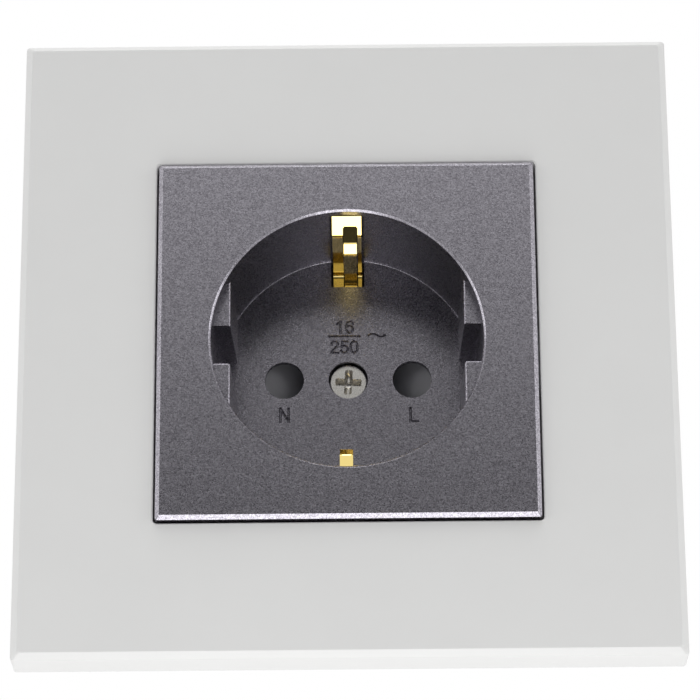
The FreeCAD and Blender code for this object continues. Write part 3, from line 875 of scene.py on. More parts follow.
@dataclass
class CoverFrame:
    """White square frame round the centre plate."""

    corner: float = 0.5
    bevel_width: float = 0.95
    bevel_depth: float = 0.93
    face_wall: float = 2.2
    skirt_wall: float = 2.0
    collar_wall: float = 1.5
    opening_half: float = 27.8
    opening_corner: float = 0.55
    outer_corner_from: float = 30.3
    ledge_reach: float = 1.8
    ledge_thickness: float = 2.0
    ring_sheet: float = 1.0
    rib_wall: float = 1.0
    rib_play: float = 0.1
    ribs_per_side: int = 4
    screw_head_radius: float = 3.3
    screw_head_height: float = 2.0
    slot_play: float = 3.2
    arris: float = 0.12
    finish: Finish = field(default_factory=MouldedAsa)

    def loop(self, half: float, y: float) -> list[Vector]:
        """Loop of the swept section, with the corner that suits its place."""
        corner = self.corner if half > self.outer_corner_from else self.opening_corner
        return rounded_square(half, half, corner, y)

    def swept(self, half: float, face: float) -> Solid:
        """The section of the frame swept once round the opening.

        Args:
            half: Half the side of the frame.
            face: Where its face lies along Y.

        Returns:
            The closed solid.
        """
        opening = self.opening_half
        ledge_rear = -self.ring_sheet
        ledge_front = ledge_rear - self.ledge_thickness
        collar = opening + self.collar_wall
        roof = face + self.face_wall
        inside = half - self.skirt_wall
        ledge_inner = opening - self.ledge_reach
        small = self.arris
        section = filleted([
            (half, 0, small), (half, face + self.bevel_depth, small * 2),
            (half - self.bevel_width, face, small * 2), (opening, face, small * 2), (opening, ledge_front, 0),
            (ledge_inner, ledge_front, small), (ledge_inner, ledge_rear, small), (collar, ledge_rear, small),
            (collar, roof, small), (inside, roof, small), (inside, 0, small)], 3)
        return Solid.lofted([self.loop(out, y) for out, y in section], closed=True)

    def ribs(self, half: float, face: float) -> Solid:
        """The stiffening ribs between collar and skirt on the right-hand side.

        Args:
            half: Half the side of the frame.
            face: Where its face lies along Y.

        Returns:
            The ribs, which don't meet.
        """
        inside = half - self.skirt_wall
        across = (self.opening_half + self.collar_wall - BITE, inside + BITE)
        deep = (face + self.face_wall - BITE, -self.ring_sheet - self.rib_play)
        ribs = []
        for place in range(self.ribs_per_side):
            z = -inside + (place + 0.5) * 2 * inside / self.ribs_per_side
            ribs.append(Solid.box(across, deep, (z - self.rib_wall / 2, z + self.rib_wall / 2)))
        return Solid.gathered(ribs)

    def head_rooms(self) -> Solid:
        """The notches that let the heads of the box screws in."""
        reach = (self.opening_half - self.ledge_reach - PAST, self.opening_half + self.collar_wall + BITE)
        deep = (-self.ring_sheet - self.screw_head_height, PAST)
        tall = self.screw_head_radius + self.slot_play
        side = Solid.box(reach, deep, (-tall, tall))
        top = Solid.box((-self.screw_head_radius, self.screw_head_radius), deep, reach)
        return Solid.gathered([side, side.mirrored(Axis.X), top, top.mirrored(Axis.Z)])

    def build(self, shop: Workshop) -> None:
        """Makes the frame."""
        low, high = near_and_far("cover_frame")
        side = self.ribs(high.x, low.y)
        shape = self.swept(high.x, low.y).cut(self.head_rooms())
        shape = shape.joined(*[side.turned_by(90.0 * quarter) for quarter in range(4)])
        shop.put("white_cover_frame", shape, self.finish, "cover_frame")


@dataclass
class Lettering:
    """Plain marks on the recess floor, engraved as V-shaped strokes."""

    depth: float = 0.32
    stroke: float = 0.38
    foot_share: float = 0.15
    proud: float = 0.08
    sharpest: float = 0.5
    letter_width: float = 0.62
    advance: float = 0.78
    wave_rise: float = 0.24
    wave_runs: int = 16
    strokes: dict[str, tuple[tuple[Pair, ...], ...]] = field(default_factory=lambda: {
        "1": (((0.10, 0.77), (0.36, 0.97)), ((0.36, 1.0), (0.36, 0.0))),
        "6": (((0.57, 0.80), (0.52, 0.93), (0.40, 1.0), (0.26, 0.98), (0.13, 0.86), (0.06, 0.66),
               (0.04, 0.44), (0.08, 0.20), (0.18, 0.05), (0.32, 0.0), (0.46, 0.05), (0.56, 0.18),
               (0.58, 0.34)),
              ((0.58, 0.30), (0.55, 0.46), (0.45, 0.58), (0.32, 0.62), (0.18, 0.57), (0.07, 0.42))),
        "2": (((0.05, 0.74), (0.09, 0.90), (0.20, 0.99), (0.34, 1.0), (0.48, 0.93), (0.55, 0.79),
               (0.52, 0.62), (0.40, 0.46), (0.22, 0.29), (0.08, 0.10), (0.05, 0.0)),
              ((0.05, 0.02), (0.58, 0.02))),
        "5": (((0.54, 0.98), (0.17, 0.98)), ((0.15, 1.0), (0.09, 0.52)),
              ((0.13, 0.57), (0.30, 0.64), (0.46, 0.58), (0.57, 0.42), (0.57, 0.24), (0.47, 0.06),
               (0.30, 0.0), (0.14, 0.05), (0.05, 0.20))),
        "0": (((0.31, 1.0), (0.16, 0.94), (0.07, 0.78), (0.04, 0.5), (0.07, 0.22), (0.16, 0.06),
               (0.31, 0.0)),
              ((0.31, 1.0), (0.46, 0.94), (0.55, 0.78), (0.58, 0.5), (0.55, 0.22), (0.46, 0.06),
               (0.31, 0.0))),
        "N": (((0.05, 0.0), (0.05, 1.0)), ((0.05, 1.0), (0.62, 0.0)), ((0.62, 0.0), (0.62, 1.0))),
        "L": (((0.05, 1.0), (0.05, 0.02), (0.56, 0.02)),)})

    def groove(self, path: Sequence[Pair], floor: float) -> Solid:
        """V-shaped groove along an open path as a cutting solid.

        Args:
            path: Points of the path, as X and Z.
            floor: Where the face that it is cut into lies along Y.

        Returns:
            The solid, which stands out of the face and narrows below it.
        """
        sides: list[tuple[Vector, Vector]] = []
        points = [Vector(point) for point in path]
        last = len(points) - 1
        for index, point in enumerate(points):
            ahead = (points[min(index + 1, last)] - point).normalized()
            behind = (point - points[max(index - 1, 0)]).normalized()
            heading = (ahead + behind).normalized()
            across = Vector((-heading.y, heading.x))
            run = behind if index == last else ahead
            reach = 1 / max(self.sharpest, abs(across.dot(Vector((-run.y, run.x)))))
            end = Vector((0.0, 0.0))
            if index == last:
                end = behind / 2
            elif index == 0:
                end = -ahead / 2
            sides.append((across * reach / 2, end))
        loops = []
        foot = self.stroke * self.foot_share
        head = foot + (self.stroke - foot) * (self.depth + self.proud) / self.depth
        for y, width in ((floor - self.proud, head), (floor + self.depth, foot)):
            near = [point + (side + end) * width for point, (side, end) in zip(points, sides)]
            far = [point + (end - side) * width for point, (side, end) in zip(points, sides)]
            loops.append([Vector((spot.x, y, spot.y)) for spot in near + far[::-1]])
        return Solid.lofted(loops)

    def text(self, words: str, middle: Pair, height: float, floor: float) -> list[Solid]:
        """Letters as cutting solids.

        Args:
            words: What is written.
            middle: Place of the middle, as X and Z.
            height: Height of the capitals.
            floor: Where the face that they are cut into lies along Y.

        Returns:
            A solid for each stroke.
        """
        start = middle[0] - (self.advance * (len(words) - 1) + self.letter_width) * height / 2
        foot = middle[1] - height / 2
        made = []
        for place, letter in enumerate(words):
            left = start + place * self.advance * height
            for path in self.strokes[letter]:
                made.append(self.groove([(left + x * height, foot + z * height) for x, z in path], floor))
        return made

    def bar(self, place: Triple, floor: float) -> Solid:
        """Straight stroke as a cutting solid, from its start and end along X and its Z."""
        start, end, z = place
        return self.groove([(start, z), (end, z)], floor)

    def wave(self, place: Triple, floor: float) -> Solid:
        """Wavy stroke that stands for alternating current, as a cutting solid.

        Args:
            place: Its start and end along X, and its Z.
            floor: Where the face that it is cut into lies along Y.

        Returns:
            The solid.
        """
        start, end, z = place
        path = []
        for run in range(self.wave_runs + 1):
            share = run / self.wave_runs
            path.append((start + (end - start) * share, z + self.wave_rise * math.sin(2 * math.pi * share)))
        return self.groove(path, floor)


@dataclass
class SocketCover:
    """Graphite centre plate with the plug recess, its keys and its holes, all in one moulding.

    Where its face lies along Y and half its side are read from the CAD piece when it is built.
    """

    face: float = 0.0
    half: float = 0.0
    corner: float = 0.3
    chamfer: float = 0.6
    plate_round: float = 0.09
    plate_wall: float = 2.2
    skirt_wall: float = 1.5
    skirt_rear: float = -3.0
    skirt_round: float = 0.15
    rib_half: float = 0.5
    recess_radius: float = 19.75
    floor_radius: float = 19.3
    recess_depth: float = 17.7
    rim_chamfer: float = 0.3
    rim_round: float = 0.05
    floor_round: float = 0.2
    wall: float = 1.7
    floor_wall: float = 2.0
    cup_rounds: Triple = (0.3, 0.2, 0.1)
    key_set_back: float = 2.8
    key_reach: Pair = (17.0, 16.5)
    key_edge: float = 0.2
    key_round: float = 0.1
    key_notch: float = 5.9
    notch_round: float = 0.12
    notch_degrees: float = 60.0
    pin_x: float = 9.5
    pin_hole_radius: float = 2.9
    pin_hole_wall: float = 0.9
    counterbore_radius: float = 2.93
    counterbore_depth: float = 2.6
    shank_hole_radius: float = 1.75
    boss_radius: float = 3.73
    boss_rear: float = 13.4
    slot_half: float = 2.5
    slot_inner: float = 14.95
    slot_outer: float = 20.9
    slot_front: float = 1.4
    leg_outside: float = 18.73
    track: Triple = (6.1, 18.8, 3.7)
    figure_height: float = 1.85
    current_at: Pair = (-0.5, 8.45)
    voltage_at: Pair = (-0.55, 5.25)
    rule_at: Triple = (-2.75, 1.7, 7.0)
    wave_at: Triple = (3.1, 5.5, 7.1)
    letter_height: float = 2.1
    neutral_at: Pair = (-9.55, -5.5)
    line_at: Pair = (9.75, -5.6)
    marks: Lettering = field(default_factory=Lettering)
    finish: Finish = field(default_factory=MetallicLacquer)

    def plate(self) -> Solid:
        """Square plate and skirt, without the recess.

        Returns:
            The closed solid.
        """
        soft = self.plate_round
        far_in = 5.0
        outside = filleted([(far_in, self.face, 0), (self.chamfer, self.face, soft),
                            (0.0, self.face + self.chamfer, soft),
                            (0.0, self.skirt_rear, self.skirt_round), (far_in, self.skirt_rear, 0)], 3)[1:-1]
        body = Solid.slab((self.half, self.half), self.corner, outside)
        inner = self.half - self.skirt_wall
        hollow = [(0.0, self.face + self.plate_wall), (0.0, self.skirt_rear + PAST)]
        return body.cut(Solid.slab((inner, inner), self.corner, hollow))

    def cup(self) -> Solid:
        """Outside of the recess cup with the boss behind its floor.

        Returns:
            The closed solid.
        """
        outer = self.recess_radius + self.wall
        floor = self.face + self.recess_depth
        rear = floor + self.floor_wall
        start = self.face + self.plate_wall - BITE
        wall_round, heel_round, boss_round = self.cup_rounds
        profile = filleted([(0, start, 0), (outer, start, 0), (outer, floor, wall_round),
                            (outer - self.floor_wall / 2, rear, heel_round), (self.boss_radius, rear, 0),
                            (self.boss_radius, self.boss_rear, boss_round), (0, self.boss_rear, 0)], 3)
        return Solid.turned(profile, 160)

    def recess_space(self) -> Solid:
        """The space that the plug goes into.

        Returns:
            The space as a cutting solid.
        """
        floor = self.face + self.recess_depth
        rim = self.recess_radius + self.rim_chamfer
        inside = filleted([(rim + PAST, self.face, 0), (rim, self.face, self.rim_round),
                           (self.recess_radius, self.face + self.rim_chamfer, self.rim_round),
                           (self.floor_radius, floor, self.floor_round), (0, floor, 0)], 4)[1:]
        return Solid.turned([(0.0, self.face - PAST), (inside[0][0], self.face - PAST), *inside], 192)

    def side_key(self) -> Solid:
        """The right-hand key, a segment of the recess with a notch through its middle.

        Returns:
            The key.
        """
        front = self.face + self.key_set_back
        floor = self.face + self.recess_depth + BITE
        outer = self.recess_radius + self.wall / 2
        near, far = self.key_reach
        outline = filleted([(near + self.key_edge, front, self.key_round), (outer, front, 0),
                            (outer, floor, 0), (far, floor, 0),
                            (near, front + self.key_edge, self.key_round)], 3)
        key = Solid.along_z(outline, (-self.recess_radius, self.recess_radius))
        half = self.key_notch / 2
        deep = (front - PAST, floor + PAST)
        key = key.cut(Solid.box((0, outer + PAST), deep, (-half, half)))
        round_inside = Solid.rod(outer, deep, segments=160)
        return key.softened(self.notch_round, self.notch_degrees).combined(round_inside, Operation.KEEP)

    def clip_way(self) -> Solid:
        """The upper slot through rim, wall and floor that the earth clip lies in.

        Returns:
            The slot as a cutting solid.
        """
        front = self.face + self.slot_front
        floor = self.face + self.recess_depth
        rear = floor + self.floor_wall + PAST
        outline = [(front, self.slot_inner), (rear, self.slot_inner), (rear, self.leg_outside),
                   (floor, self.leg_outside), (floor, self.slot_outer), (front, self.slot_outer)]
        return Solid.along_x(outline, (-self.slot_half, self.slot_half))

    def shutter_track(self) -> Solid:
        """The right-hand pocket behind the floor that the shutter slides in."""
        near, far, half = self.track
        front = self.face + self.recess_depth + self.pin_hole_wall
        return Solid.box((near, far), (front, front + self.floor_wall), (-half, half))

    def rating_marks(self) -> list[Solid]:
        """Plain current and voltage numbers, the sign for alternating current and a letter for each pole.

        Returns:
            A cutting solid for each stroke.
        """
        floor = self.face + self.recess_depth
        marks = self.marks
        return [*marks.text("16", self.current_at, self.figure_height, floor),
                marks.bar(self.rule_at, floor),
                *marks.text("250", self.voltage_at, self.figure_height, floor),
                marks.wave(self.wave_at, floor),
                *marks.text("N", self.neutral_at, self.letter_height, floor),
                *marks.text("L", self.line_at, self.letter_height, floor)]

    def moulding(self) -> Solid:
        """The whole moulding.

        Returns:
            The finished shape.
        """
        floor = self.face + self.recess_depth
        rear = floor + self.floor_wall
        rib = Solid.box((self.recess_radius + self.wall - BITE, self.half - self.skirt_wall + BITE),
                        (self.face + self.plate_wall - BITE, self.skirt_rear),
                        (-self.rib_half, self.rib_half))
        ribs = Solid.gathered([rib.turned_by(90.0 * side) for side in range(4)])
        shape = self.plate().joined(self.cup(), ribs).cut(self.recess_space())
        key = self.side_key()
        shape = shape.joined(key, key.mirrored(Axis.X))
        way = self.clip_way()
        track = self.shutter_track()
        pin = Solid.rod(self.pin_hole_radius, (floor - PAST, rear + PAST))
        pins = [pin.moved(x=side * self.pin_x) for side in (-1, 1)]
        seat = Solid.rod(self.counterbore_radius, (floor - PAST, floor + self.counterbore_depth), segments=96)
        shank = Solid.rod(self.shank_hole_radius, (floor, self.boss_rear + PAST))
        tools = [way, way.mirrored(Axis.Z), track, track.mirrored(Axis.X), *pins, seat, shank]
        return shape.cut(*tools, *self.rating_marks())

    def build(self, shop: Workshop) -> None:
        """Makes the cover."""
        low, high = near_and_far("socket_cover")
        self.face = low.y
        self.half = high.x
        shop.put("graphite_socket_cover", self.moulding(), self.finish, "socket_cover")


@dataclass
class CoverScrew:
    """Cross-recessed screw in the middle of the recess floor."""

    head_height: float = 1.6
    head_round: float = 0.08
    soft: float = 0.1
    shank_radius: float = 1.5
    shank_play: float = 0.05
    plain_shank: float = 1.6
    neck: float = 0.3
    tip: float = 0.6
    turn: float = 3.0
    cross_length: float = 3.9
    cross_foot: float = 3.0
    cross_width: float = 1.12
    cross_depth: float = 1.45
    wing_foot_share: float = 0.2
    wing_round_share: float = 0.4
    cross_middle: Pair = (0.85, 0.45)
    middle_extra_depth: Pair = (0.15, 0.3)
    pitch: float = 0.7
    thread_depth: float = 0.26
    finish: Finish = field(default_factory=SatinNickel)

    def cross(self, top: float) -> Solid:
        """The cross recess, whose wings narrow as they go in.

        Args:
            top: Where the face of the head lies along Y.

        Returns:
            The recess as a cutting solid.
        """
        above = top - PAST / 2
        bottom = top + self.cross_depth
        half = self.cross_width / 2
        mouth = (self.cross_length / 2, half)
        foot = (self.cross_foot / 2, half * self.wing_foot_share)
        loops = []
        for y, (reach, spread) in ((above, mouth), (top, mouth), (bottom, foot)):
            loops.append(rounded_square(reach, spread, spread * self.wing_round_share, y, 3))
        wing = Solid.lofted(loops)
        wide, narrow = self.cross_middle
        shoulder, point = self.middle_extra_depth
        middle = Solid.turned([(0, above), (wide, above), (wide, top), (narrow, bottom + shoulder),
                               (0, bottom + point)], 24)
        return wing.joined(wing.turned_by(90.0), middle).turned_by(self.turn)

    def build(self, shop: Workshop) -> None:
        """Makes the screw."""
        low, high = near_and_far("cover_screw")
        radius = high.x
        seat = low.y + self.head_height
        shank = self.shank_radius - self.shank_play
        root = self.shank_radius - self.thread_depth
        neck_start = seat + self.plain_shank
        root_start = neck_start + self.neck
        root_end = high.y - self.tip
        soft = self.soft
        profile = filleted([(0, low.y, 0), (radius, low.y, self.head_round), (radius, seat, soft),
                            (shank, seat, 0), (shank, neck_start, soft), (root, root_start, soft),
                            (root, root_end, soft), (root / 2, high.y, soft), (0, high.y, 0)], 5)
        body = Solid.turned(profile, 96).cut(self.cross(low.y))
        threaded = (root_start + self.neck, root_end - self.neck)
        ridge = thread_ridge(self.shank_radius, self.pitch, self.thread_depth, threaded)
        shop.put("nickel_cover_screw", Solid.gathered([body, ridge]), self.finish, "cover_screw")


@dataclass
class EarthBracket:
    """Stamping that makes both earth clips, the feet on the ring and the tail to the earth terminal."""

    sheet: float = 0.6
    half_width: float = 5.6
    bend: float = 0.9
    clip_half: float = 2.15
    clip_reach: float = 17.78
    ramp: Pair = (5.4, 3.12)
    clip_root: float = 14.0
    leg_overlap: float = 0.6
    overlap: float = 0.5
    tongue_half: float = 0.95
    upper_tongue_x: float = 0.5
    lower_tongue_x: float = -0.25
    tongue_slit: float = 0.13
    tongue_path: tuple[Pair, ...] = ((6.0, 15.1), (4.75, 16.35), (4.24, 18.5))
    tongue_root: float = 16.2
    tongue_bend: float = 0.5
    window_end: float = 4.2
    bridge_front: float = 12.0
    strap_reach: float = 22.3
    strap_foot: float = 27.3
    rivet_reach: float = 25.4
    tail_half: float = 2.4
    tail_slit: float = 0.25
    link: float = 1.5
    boss_hole: float = 3.93
    rivet_hole: float = 1.25
    screw_hole: float = 1.75
    screw_y: float = 24.2
    edge: float = 0.08
    edge_degrees: float = 50.0
    finish: Finish = field(default_factory=GildedStrip)

    def clip(self, face: float, tongue_x: float) -> Solid:
        """Upper clip: the wide leg with its ramp, and the tongue in its window.

        Args:
            face: Where the cover's face lies along Y.
            tongue_x: How far the tongue stands to the right of the leg's middle.

        Returns:
            The clip, joined in one.
        """
        half = self.sheet / 2
        middle = self.bridge_front + half
        start, end = self.ramp
        reach = self.clip_reach + half
        leg = bent_strip([(middle, self.clip_root - self.leg_overlap), (middle, reach), (face + start, reach),
                          (face + end, reach + start - end)], self.bend, self.sheet,
                         (-self.clip_half, self.clip_half))
        window_half = self.tongue_half + self.tongue_slit
        window = Solid.box((tongue_x - window_half, tongue_x + window_half),
                           (face + self.window_end, middle + 2 * PAST),
                           (self.clip_root + BITE, reach + 3 * PAST))
        path = [(middle, self.clip_root), (middle, self.tongue_root + half)]
        path += [(face + depth, place + half) for depth, place in self.tongue_path]
        tongue = bent_strip(path, self.tongue_bend, self.sheet,
                            (tongue_x - self.tongue_half, tongue_x + self.tongue_half))
        return leg.cut(window).joined(tongue)

    def upper_half(self, face: float, tongue_x: float) -> Solid:
        """All that stands above the middle of the bracket, but the tail.

        Args:
            face: Where the cover's face lies along Y.
            tongue_x: How far the tongue stands to the right of the leg's middle.

        Returns:
            The upper half, joined in one.
        """
        half = self.sheet / 2
        middle = self.bridge_front + half
        inner = self.tail_half + self.tail_slit
        arm = bent_strip([(middle, self.clip_root - self.overlap), (middle, self.strap_reach),
                          (half, self.strap_reach), (half, self.strap_foot)], self.bend, self.sheet,
                         (inner, self.half_width))
        between = (-inner - BITE, inner + BITE)
        deep = (self.bridge_front, self.bridge_front + self.sheet)
        foot = Solid.box(between, (0, self.sheet), (self.strap_reach + self.bend, self.strap_foot))
        link_start = self.strap_reach - self.bend - self.link
        link = Solid.box(between, deep, (link_start, link_start + self.link))
        bridge = Solid.box((-self.half_width, self.half_width), deep, (-self.overlap, self.clip_root))
        return bridge.joined(arm, arm.mirrored(Axis.X), foot, link, self.clip(face, tongue_x))

    def tail(self, rear: float) -> Solid:
        """The tail that runs down and back to the earth terminal."""
        middle = self.bridge_front + self.sheet / 2
        start = self.strap_reach - self.bend - self.link / 2
        return bent_strip([(middle, -start), (middle, -self.strap_reach), (rear, -self.strap_reach)],
                          self.bend, self.sheet, (-self.tail_half, self.tail_half))

    def build(self, shop: Workshop) -> None:
        """Makes the bracket."""
        face = near_and_far("socket_cover")[0].y
        rear = near_and_far("earth_bracket")[1].y
        upper = self.upper_half(face, self.upper_tongue_x)
        lower = self.upper_half(face, self.lower_tongue_x).mirrored(Axis.Z)
        shape = upper.joined(lower, self.tail(rear))
        rivet_hole = Solid.rod(self.rivet_hole, (-PAST, 2 * PAST))
        holes = [Solid.rod(self.boss_hole, (self.bridge_front - PAST, self.bridge_front + 2 * PAST)),
                 rivet_hole.moved(z=self.rivet_reach), rivet_hole.moved(z=-self.rivet_reach),
                 Solid.rod(self.screw_hole, (-self.strap_reach - PAST, -self.strap_reach + PAST),
                           Axis.Z).moved(y=self.screw_y)]
        shape = shape.cut(*holes).softened(self.edge, self.edge_degrees)
        shop.put("gilded_earth_bracket", shape, self.finish, "earth_bracket")


@dataclass
class ShutterUnit:
    """The two shutters behind the pin holes, their springs and the carrier that guides them."""

    wire: float = 0.35
    wire_sides: int = 10
    coil_radius: float = 1.25
    runs_per_turn: int = 36
    turns: float = 4.5
    closed_turns: float = 0.75
    axis_y: float = 13.475
    seat: float = 20.7
    shutter_end: float = 12.9
    travel: float = 5.7
    shutter_finish: Finish = field(default_factory=MouldedAcetal)
    spring_finish: Finish = field(default_factory=DrawnSpringWire)
    carrier_finish: Finish = field(default_factory=MouldedPolyamide)

    def coil(self) -> Solid:
        """Right-hand spring, with its end turns closed."""
        dead = self.closed_turns
        total = self.turns + 2 * dead
        length = self.seat - self.shutter_end - self.wire
        loops = []
        for run in range(int(total * self.runs_per_turn) + 1):
            done = run / self.runs_per_turn
            open_share = min(max((done - dead) / self.turns, 0.0), 1.0)
            closed_rise = self.wire * (min(done, dead) + max(done - (total - dead), 0.0))
            x = self.shutter_end + self.wire / 2 + closed_rise
            x += open_share * (length - 2 * dead * self.wire)
            angle = 2 * math.pi * done
            out = Vector((0, math.sin(angle), math.cos(angle)))
            middle = Vector((x, self.axis_y, 0)) + out * self.coil_radius
            loop = []
            for side in range(self.wire_sides):
                lean = 2 * math.pi * side / self.wire_sides
                loop.append(middle + (out * math.cos(lean) + Vector((math.sin(lean), 0, 0))) * self.wire / 2)
            loops.append(loop)
        return Solid.lofted(loops)

    def build(self, shop: Workshop) -> None:
        """Makes the springs and dresses the shutters and the carrier."""
        spring = self.coil()
        for side, shape, sign in (("left", spring.mirrored(Axis.X), -1.0), ("right", spring, 1.0)):
            piece = shop.put(f"coil_spring_{side}", shape, self.spring_finish, f"shutter_spring_{side}")
            piece.modifiers.clear()
            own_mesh(piece)
            shop.dress(f"shutter_{side}", self.shutter_finish)
        shop.dress("shutter_carrier", self.carrier_finish)


@dataclass
class SupportRing:
    """Pressed steel ring with its rivets."""

    corner: float = 5.0
    opening_radius: float = 21.85
    screw_reach: float = 30.0
    screw_hole: float = 1.8
    slot_play: float = 3.2
    rivet_circle: float = 26.2
    rivet_radius: float = 1.25
    rivet_head: float = 1.9
    rivet_height: float = 0.7
    strap_rivet_reach: float = 25.4
    sheet: float = 1.0
    bracket_sheet: float = 0.6
    flange: float = 5.0
    die_roll: float = 0.18
    roll_share: float = 0.3
    dome: tuple[Pair, ...] = ((0.45, 0.9), (0.8, 0.55))
    finish: Finish = field(default_factory=ZincPlatedSheet)

    def rivet_places(self) -> list[Pair]:
        """Places of the two rivets through the base's flange."""
        reach = self.rivet_circle * math.sqrt(0.5)
        return [(-reach, reach), (reach, -reach)]

    def ring(self, half: float) -> Solid:
        """The ring with its holes, each with the soft edge that a punch leaves.

        Args:
            half: Half the side of the ring.

        Returns:
            The finished shape.
        """
        front = -self.sheet
        soft = self.die_roll
        slight = soft * self.roll_share
        outside = [(soft, front), (slight, front + slight), (0.0, front + soft), (0.0, 0.0)]
        plate = Solid.slab((half, half), self.corner, outside)
        holes = [(0.0, self.opening_radius, 128)]
        holes += [(side * self.screw_reach, self.screw_hole, 48) for side in (-1, 1)]
        for z, radius, segments in holes:
            tool = Solid.turned([(0, front - PAST), (radius + soft, front - PAST), (radius + soft, front),
                                 (radius + slight, front + slight), (radius, front + soft),
                                 (radius, PAST), (0, PAST)], segments)
            plate = plate.cut(tool.moved(z=z))
        slot = Solid.slab((self.screw_hole, self.screw_hole + self.slot_play), self.screw_hole,
                          [(0.0, front - PAST), (0.0, PAST)])
        for side in (-1, 1):
            plate = plate.cut(slot.moved(x=side * self.screw_reach))
        return plate

    def rivet(self, x: float, z: float, grip: Pair) -> Solid:
        """Rivet with a domed head at both ends.

        Args:
            x: Place of its axis along X.
            z: Place of its axis along Z.
            grip: Front and rear of the sheets that it holds.

        Returns:
            The rivet.
        """
        start, end = grip
        head = self.rivet_head
        rise = self.rivet_height
        dome = [(head * out, rise * up) for out, up in self.dome]
        front = [(0.0, start - rise), *[(out, start - up) for out, up in dome], (head, start)]
        rear = [(head, end), *[(out, end + up) for out, up in reversed(dome)], (0.0, end + rise)]
        shank = [(self.rivet_radius, start), (self.rivet_radius, end)]
        return Solid.turned(front + shank + rear, 40).moved(x=x, z=z)

    def build(self, shop: Workshop) -> None:
        """Makes the ring and the rivets."""
        half = near_and_far("support_ring")[1].x
        shop.put("pressed_support_ring", self.ring(half), self.finish, "support_ring")
        flange_rivets = [self.rivet(x, z, (-self.sheet, self.flange)) for x, z in self.rivet_places()]
        shop.put("flange_rivets", Solid.gathered(flange_rivets), self.finish, "ring_rivets")
        strap_rivets = [self.rivet(0.0, side * self.strap_rivet_reach, (-self.sheet, self.bracket_sheet))
                        for side in (-1, 1)]
        shop.put("strap_rivets", Solid.gathered(strap_rivets), self.finish, "earth_rivets")


@dataclass
class InsulatingBase:
    """Pale base that holds the contacts and takes the wires at its rear."""

    finish: Finish = field(default_factory=PressedUrea)

    def build(self, shop: Workshop) -> None:
        """Dresses the base."""
        shop.dress("socket_base", self.finish)


@dataclass
class Terminals:
    """Contacts, pillar terminals, clamping screws and the bush of the cover screw."""

    strip: Finish = field(default_factory=RolledBrass)
    milled: Finish = field(default_factory=MilledBrass)
    zinc: Finish = field(default_factory=ZincPlatedSheet)

    def build(self, shop: Workshop) -> None:
        """Dresses the metal pieces inside the base."""
        for pole in ("neutral", "line"):
            shop.dress(f"contact_{pole}", self.strip)
        for pole in ("neutral", "line", "earth"):
            shop.dress(f"terminal_{pole}", self.milled)
            shop.dress(f"terminal_screw_{pole}", self.zinc)
        shop.dress("screw_bush", self.milled)


@dataclass(frozen=True)
class Lamp:
    """Square soft lamp: its name, its place in metres, its side in metres and its power in watts."""

    name: str
    place: Triple
    size: float
    watts: float


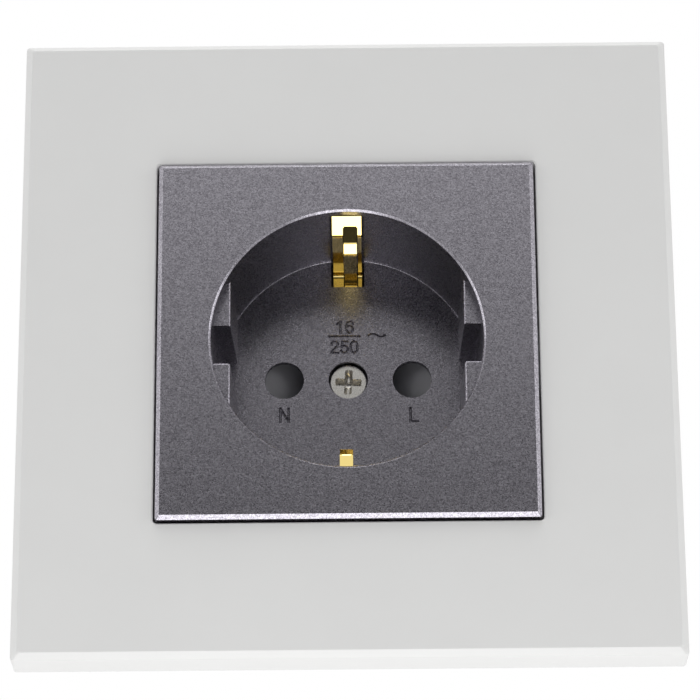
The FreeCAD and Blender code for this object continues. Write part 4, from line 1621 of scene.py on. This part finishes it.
@dataclass
class Studio:
    """Floor, lamps, world and the camera that stands where the photographer stood."""

    elevation: float = -21.27
    azimuth: float = 0.38
    roll: float = -0.40
    distance: float = 526.1
    target: Pair = (0.399, -2.102)
    focal_pixels: float = 3649.6
    picture_pixels: int = 700
    sensor_mm: float = 36.0
    clip: Pair = (0.05, 20.0)
    floor_height: float = -0.30
    floor_half: float = 3.0
    card_size: Triple = (1.0, 0.80, 0.33)
    card_lift: float = 0.001
    card_roughness: float = 0.85
    level: float = 0.65
    lamps: tuple[Lamp, ...] = (Lamp("overhead_softbox", (0.0, -0.32, 1.05), 0.6, 5.0),
                               Lamp("underside_fill", (0.0, -0.115, -0.27), 0.19, 0.32),
                               Lamp("left_strip", (-0.70, -0.25, 0.10), 0.4, 1.0),
                               Lamp("right_strip", (0.70, -0.25, 0.10), 0.4, 1.0))

    def camera(self, face: float) -> None:
        """Sets the camera below the object, looking up at it.

        Args:
            face: Where the plate's face lies along Y, in millimetres.
        """
        lift, swing, lean = (math.radians(angle) for angle in (self.elevation, self.azimuth, self.roll))
        back = Vector((math.sin(swing) * math.cos(lift), -math.cos(swing) * math.cos(lift), math.sin(lift)))
        right = (-back).cross(Vector((0, 0, 1))).normalized()
        up = right.cross(-back)
        leaning_right = right * math.cos(lean) + up * math.sin(lean)
        leaning_up = up * math.cos(lean) - right * math.sin(lean)
        place = Vector((self.target[0], face, self.target[1])) + back * self.distance
        data = bpy.data.cameras.new("long_lens")
        data.sensor_width = self.sensor_mm
        data.lens = self.focal_pixels / self.picture_pixels * self.sensor_mm
        data.clip_start, data.clip_end = self.clip
        camera = bpy.data.objects.new("camera", data)
        turn = Matrix((leaning_right, leaning_up, back)).transposed().to_4x4()
        camera.matrix_world = Matrix.Translation(place * MILLIMETRE) @ turn
        bpy.context.scene.collection.objects.link(camera)
        bpy.context.scene.camera = camera

    def light(self, lamp: Lamp) -> None:
        """Adds a lamp that faces the object.

        Args:
            lamp: The lamp.
        """
        data = bpy.data.lights.new(lamp.name, "AREA")
        data.shape = "SQUARE"
        data.size = lamp.size
        data.energy = lamp.watts
        shown = bpy.data.objects.new(lamp.name, data)
        shown.location = lamp.place
        shown.rotation_euler = (-Vector(lamp.place)).to_track_quat("-Z", "Y").to_euler()
        bpy.context.scene.collection.objects.link(shown)

    def card(self, name: str, corners: Sequence[Triple], colour: str) -> bpy.types.Object:
        """Adds a flat matt card that isn't part of the object.

        Args:
            name: Its name.
            corners: Its four corners, in metres.
            colour: Its colour.

        Returns:
            The card.
        """
        mesh = bpy.data.meshes.new(name)
        mesh.from_pydata(corners, [], [(0, 1, 2, 3)])
        card = bpy.data.objects.new(name, mesh)
        bpy.context.scene.collection.objects.link(card)
        material = bpy.data.materials.new(f"matt_{name}")
        material.use_nodes = True
        shader = material.node_tree.nodes["Principled BSDF"]
        shader.inputs["Base Color"].default_value = linear(colour)
        shader.inputs["Roughness"].default_value = self.card_roughness
        mesh.materials.append(material)
        return card

    def floor(self) -> None:
        """Adds the plain pale floor, which ends where the dark card stands on it."""
        half = self.floor_half
        low = self.floor_height
        near = -self.card_size[1]
        self.card("pale_floor", [(-half, near, low), (half, near, low), (half, half, low),
                                 (-half, half, low)], "f2f2f2")

    def dark_card(self) -> None:
        """Adds the dark card round the photographer, which the lacquer and the metals reflect."""
        half, near, top = self.card_size
        foot = self.floor_height + self.card_lift
        card = self.card("dark_card", [(-half, -near, foot), (half, -near, foot), (half, -near, top),
                                       (-half, -near, top)], "2a2a2c")
        card.visible_camera = False

    def world(self) -> None:
        """White surroundings for the camera and for reflections, and a plain soft level of light."""
        world = bpy.data.worlds.new("white_surroundings")
        bpy.context.scene.world = world
        world.use_nodes = True
        tree = world.node_tree
        tree.nodes.clear()
        paths = add_node(tree, "ShaderNodeLightPath").outputs
        added = {"operation": "ADD", "use_clamp": True}
        seen = add_node(tree, "ShaderNodeMath", added, {0: paths["Is Camera Ray"], 1: paths["Is Glossy Ray"]})
        shown = add_node(tree, "ShaderNodeMath", added,
                         {0: seen.outputs["Value"], 1: paths["Is Transmission Ray"]})
        light = add_node(tree, "ShaderNodeBackground", {"Color": linear("ffffff"), "Strength": self.level})
        white = add_node(tree, "ShaderNodeBackground", {"Color": linear("ffffff"), "Strength": 1.0})
        mixed = add_node(tree, "ShaderNodeMixShader",
                         links={0: shown.outputs["Value"], 1: light.outputs["Background"],
                                2: white.outputs["Background"]})
        add_node(tree, "ShaderNodeOutputWorld", links={"Surface": mixed.outputs["Shader"]})

    def build(self, face: float) -> None:
        """Sets up the whole studio."""
        self.camera(face)
        self.floor()
        self.world()
        self.dark_card()
        for lamp in self.lamps:
            self.light(lamp)
        bpy.context.scene.view_settings.view_transform = "Standard"


def main() -> None:
    """Builds the studio and every sub-assembly in order."""
    logging.basicConfig(level=logging.INFO, format="%(name)s: %(message)s")
    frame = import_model()
    shop = Workshop(frame)
    Studio().build(near_and_far("socket_cover")[0].y)
    for part in (CoverFrame(), SocketCover(), CoverScrew(), EarthBracket(), ShutterUnit(), SupportRing(),
                 InsulatingBase(), Terminals()):
        part.build(shop)


if __name__ == "__main__":
    main()
